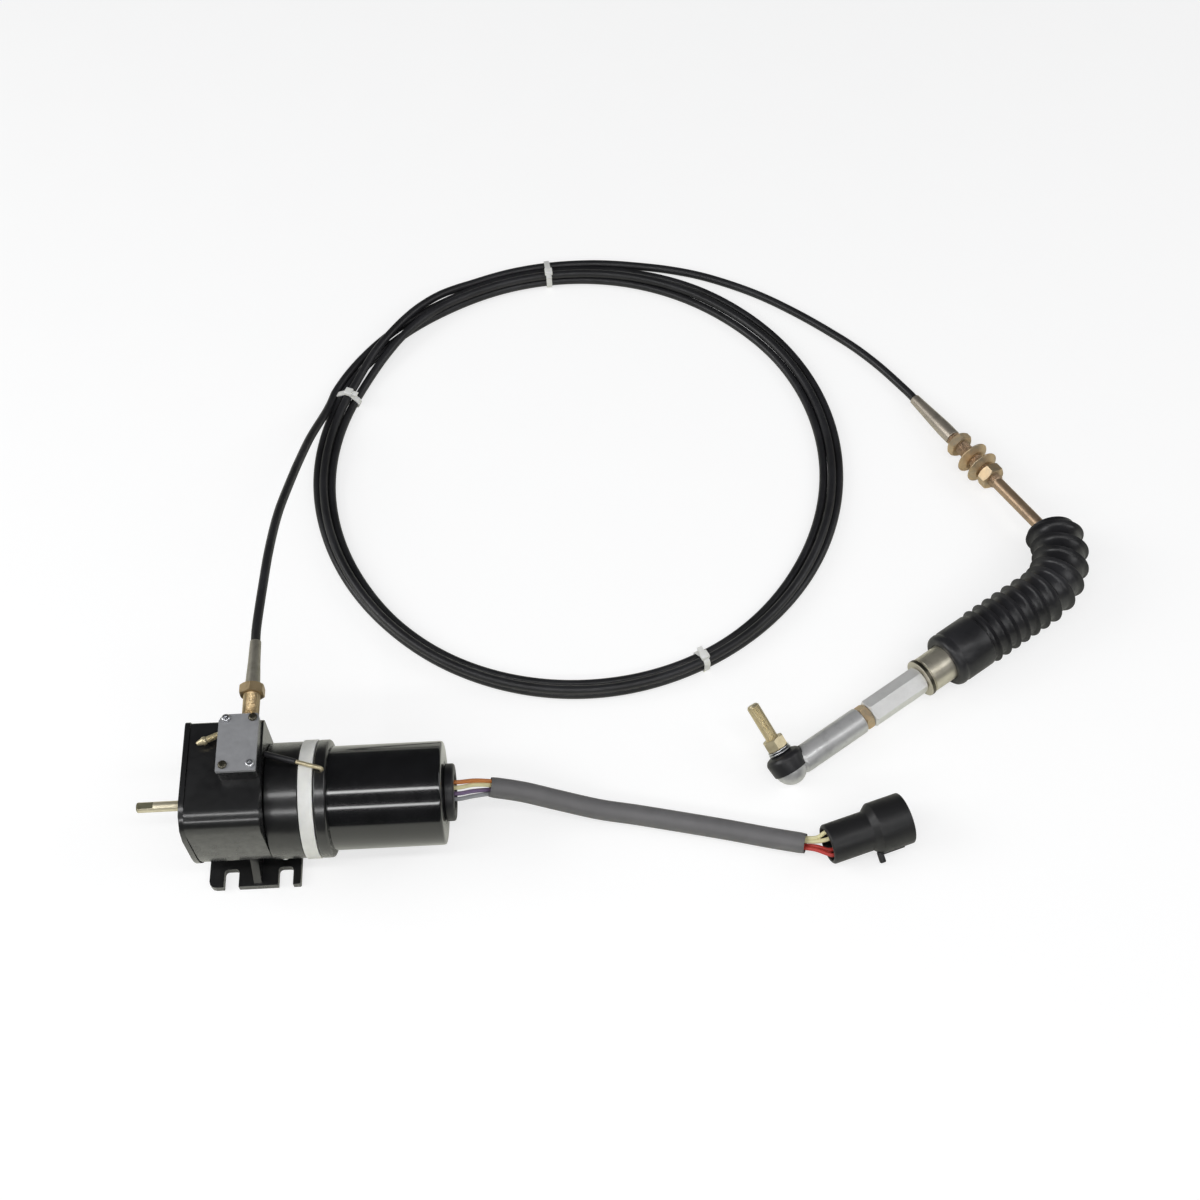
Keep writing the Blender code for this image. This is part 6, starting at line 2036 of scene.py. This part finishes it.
def lamp(name, place, target, width, height, power, side=X_AXIS):
    light = bpy.data.lights.new(name, "AREA")
    light.shape = "RECTANGLE"
    light.size = width
    light.size_y = height
    light.energy = power
    obj = bpy.data.objects.new(name, light)
    obj.matrix_world = heading_to(Vector(place), Vector(place) - Vector(target), side)
    bpy.context.scene.collection.objects.link(obj)
    return obj


FLOOR_GLOW = 1.14
FLOOR_GLOW_SHARE = 0.6
CAMERA_TARGET = Vector((0.259, 0.184, 0))
CAMERA_DISTANCE = 1.343
CAMERA_YAW = math.radians(-1.4)
CAMERA_RISE = math.radians(58)
CAMERA_ROLL = math.radians(1.6)


def camera_matrix():
    """The camera's place, looking at its target from its yaw, rise and roll."""
    level = math.cos(CAMERA_RISE)
    back = Vector(
        (math.sin(CAMERA_YAW) * level, -math.cos(CAMERA_YAW) * level, math.sin(CAMERA_RISE))
    )
    right = Vector((math.cos(CAMERA_YAW), math.sin(CAMERA_YAW), 0))
    up = back.cross(right)
    aside = right * math.cos(CAMERA_ROLL) - up * math.sin(CAMERA_ROLL)
    upright = right * math.sin(CAMERA_ROLL) + up * math.cos(CAMERA_ROLL)
    turn = Matrix((aside, upright, back)).transposed().to_4x4()
    return Matrix.Translation(CAMERA_TARGET + back * CAMERA_DISTANCE) @ turn


def floor_finish(colour):
    """Plain pale floor. The camera sees it mostly as lit white, with the shadow kept on it."""
    made, shader = new_material("pale_floor")
    tree = made.node_tree
    tree.links.new(
        spread_value(tree, noise(tree, 18, 3), 0.6, 0.75), shader.inputs["Roughness"]
    )
    bump(tree, shader, noise(tree, 320, 3), 0.05, 0.0001)
    white = add(tree, "ShaderNodeEmission")
    white.inputs["Color"].default_value = (1, 1, 1, 1)
    white.inputs["Strength"].default_value = FLOOR_GLOW
    path = add(tree, "ShaderNodeLightPath")
    warm = add(tree, "ShaderNodeMix", data_type="RGBA")
    warm.inputs["A"].default_value = (*scaled(colour, 0.92)[:2], colour[2] * 0.82, 1)
    warm.inputs["B"].default_value = (*colour, 1)
    tree.links.new(path.outputs["Is Camera Ray"], warm.inputs["Factor"])
    tree.links.new(warm.outputs["Result"], shader.inputs["Base Color"])
    share = add(tree, "ShaderNodeMath", operation="MULTIPLY")
    share.inputs[1].default_value = FLOOR_GLOW_SHARE
    tree.links.new(path.outputs["Is Camera Ray"], share.inputs[0])
    mix = add(tree, "ShaderNodeMixShader")
    tree.links.new(share.outputs["Value"], mix.inputs["Fac"])
    tree.links.new(shader.outputs["BSDF"], mix.inputs[1])
    tree.links.new(white.outputs["Emission"], mix.inputs[2])
    out = next(node for node in tree.nodes if node.type == "OUTPUT_MATERIAL")
    tree.links.new(mix.outputs["Shader"], out.inputs["Surface"])
    return made


def world_light(strength):
    world = bpy.data.worlds.new("studio")
    world.use_nodes = True
    bpy.context.scene.world = world
    tree = world.node_tree
    back = tree.nodes["Background"]
    back.inputs["Color"].default_value = (0.95, 0.97, 1.0, 1)
    white = add(tree, "ShaderNodeBackground")
    white.inputs["Color"].default_value = (1, 1, 1, 1)
    white.inputs["Strength"].default_value = 1.0
    path = add(tree, "ShaderNodeLightPath")
    dim = add(tree, "ShaderNodeMapRange")
    dim.inputs["To Min"].default_value = strength
    dim.inputs["To Max"].default_value = strength * 0.2
    tree.links.new(path.outputs["Is Glossy Ray"], dim.inputs["Value"])
    tree.links.new(dim.outputs["Result"], back.inputs["Strength"])
    mix = add(tree, "ShaderNodeMixShader")
    tree.links.new(path.outputs["Is Camera Ray"], mix.inputs["Fac"])
    tree.links.new(back.outputs["Background"], mix.inputs[1])
    tree.links.new(white.outputs["Background"], mix.inputs[2])
    out = next(node for node in tree.nodes if node.type == "OUTPUT_WORLD")
    tree.links.new(mix.outputs["Shader"], out.inputs["Surface"])


class PIECE_OT_stage(bpy.types.Operator):
    """Lays the pale floor and sets the lamps, the world and the camera"""

    bl_idname = "throttle.stage"
    bl_label = "Stage"

    def execute(self, context):
        mesh = bmesh.new()
        bmesh.ops.create_grid(mesh, x_segments=8, y_segments=8, size=3.0)
        data = bpy.data.meshes.new("floor")
        mesh.to_mesh(data)
        mesh.free()
        floor = bpy.data.objects.new("floor", data)
        data.materials.append(floor_finish(tuple(context.scene.finishes.floor)))
        context.scene.collection.objects.link(floor)
        world_light(0.2)
        middle = (0.26, 0.1, 0.0)
        lamp("high_strip", (0.2, -0.4, 1.6), middle, 2.4, 0.14, 9)
        lamp("low_strip", (0.2, -1.15, 1.08), middle, 2.4, 0.12, 7)
        lamp("left_panel", (-1.7, 0.1, 1.3), middle, 1.4, 1.2, 20, Y_AXIS)
        lamp("right_panel", (2.2, 0.2, 1.4), middle, 1.4, 1.2, 10, Y_AXIS)
        camera = bpy.data.cameras.new("camera")
        camera.sensor_width = 36
        camera.lens = 50.7
        camera.clip_start = 0.01
        camera.clip_end = 20
        obj = bpy.data.objects.new("camera", camera)
        obj.matrix_world = camera_matrix()
        context.scene.collection.objects.link(obj)
        context.scene.camera = obj
        context.scene.view_settings.view_transform = "Standard"
        return {"FINISHED"}


class VIEW3D_PT_throttle(bpy.types.Panel):
    """Lists the pieces of the throttle motor"""

    bl_idname = "VIEW3D_PT_throttle"
    bl_label = "Throttle Motor"
    bl_space_type = "VIEW_3D"
    bl_region_type = "UI"
    bl_category = "Throttle Motor"

    def draw(self, context):
        column = self.layout.column(align=True)
        for operator in OPERATORS:
            column.operator(operator.bl_idname)
        for group, kind in SETTINGS:
            box = self.layout.box()
            for field in kind.__annotations__:
                box.prop(getattr(context.scene, group), field)


SETTINGS = (
    ("cable_sizes", CableSizes),
    ("motor_sizes", MotorSizes),
    ("bellows_sizes", BellowsSizes),
    ("finishes", Finishes),
)
OPERATORS = (
    PIECE_OT_cable,
    PIECE_OT_ties,
    PIECE_OT_housing,
    PIECE_OT_motor,
    PIECE_OT_output,
    PIECE_OT_boss,
    PIECE_OT_hub,
    PIECE_OT_far_hub,
    PIECE_OT_bellows,
    PIECE_OT_rod_end,
    PIECE_OT_ball_joint,
    PIECE_OT_lead,
    PIECE_OT_connector,
    PIECE_OT_works,
    PIECE_OT_cords,
    PIECE_OT_stage,
)


def register():
    for group, kind in SETTINGS:
        bpy.utils.register_class(kind)
        setattr(bpy.types.Scene, group, PointerProperty(type=kind))
    for kind in (*OPERATORS, VIEW3D_PT_throttle):
        bpy.utils.register_class(kind)


def unregister():
    for kind in reversed((*OPERATORS, VIEW3D_PT_throttle)):
        bpy.utils.unregister_class(kind)
    for group, kind in reversed(SETTINGS):
        delattr(bpy.types.Scene, group)
        bpy.utils.unregister_class(kind)


def main():
    register()
    make_finishes(bpy.context.scene.finishes)
    for kind in OPERATORS:
        group, name = kind.bl_idname.split(".")
        getattr(getattr(bpy.ops, group), name)()


if __name__ == "__main__":
    main()
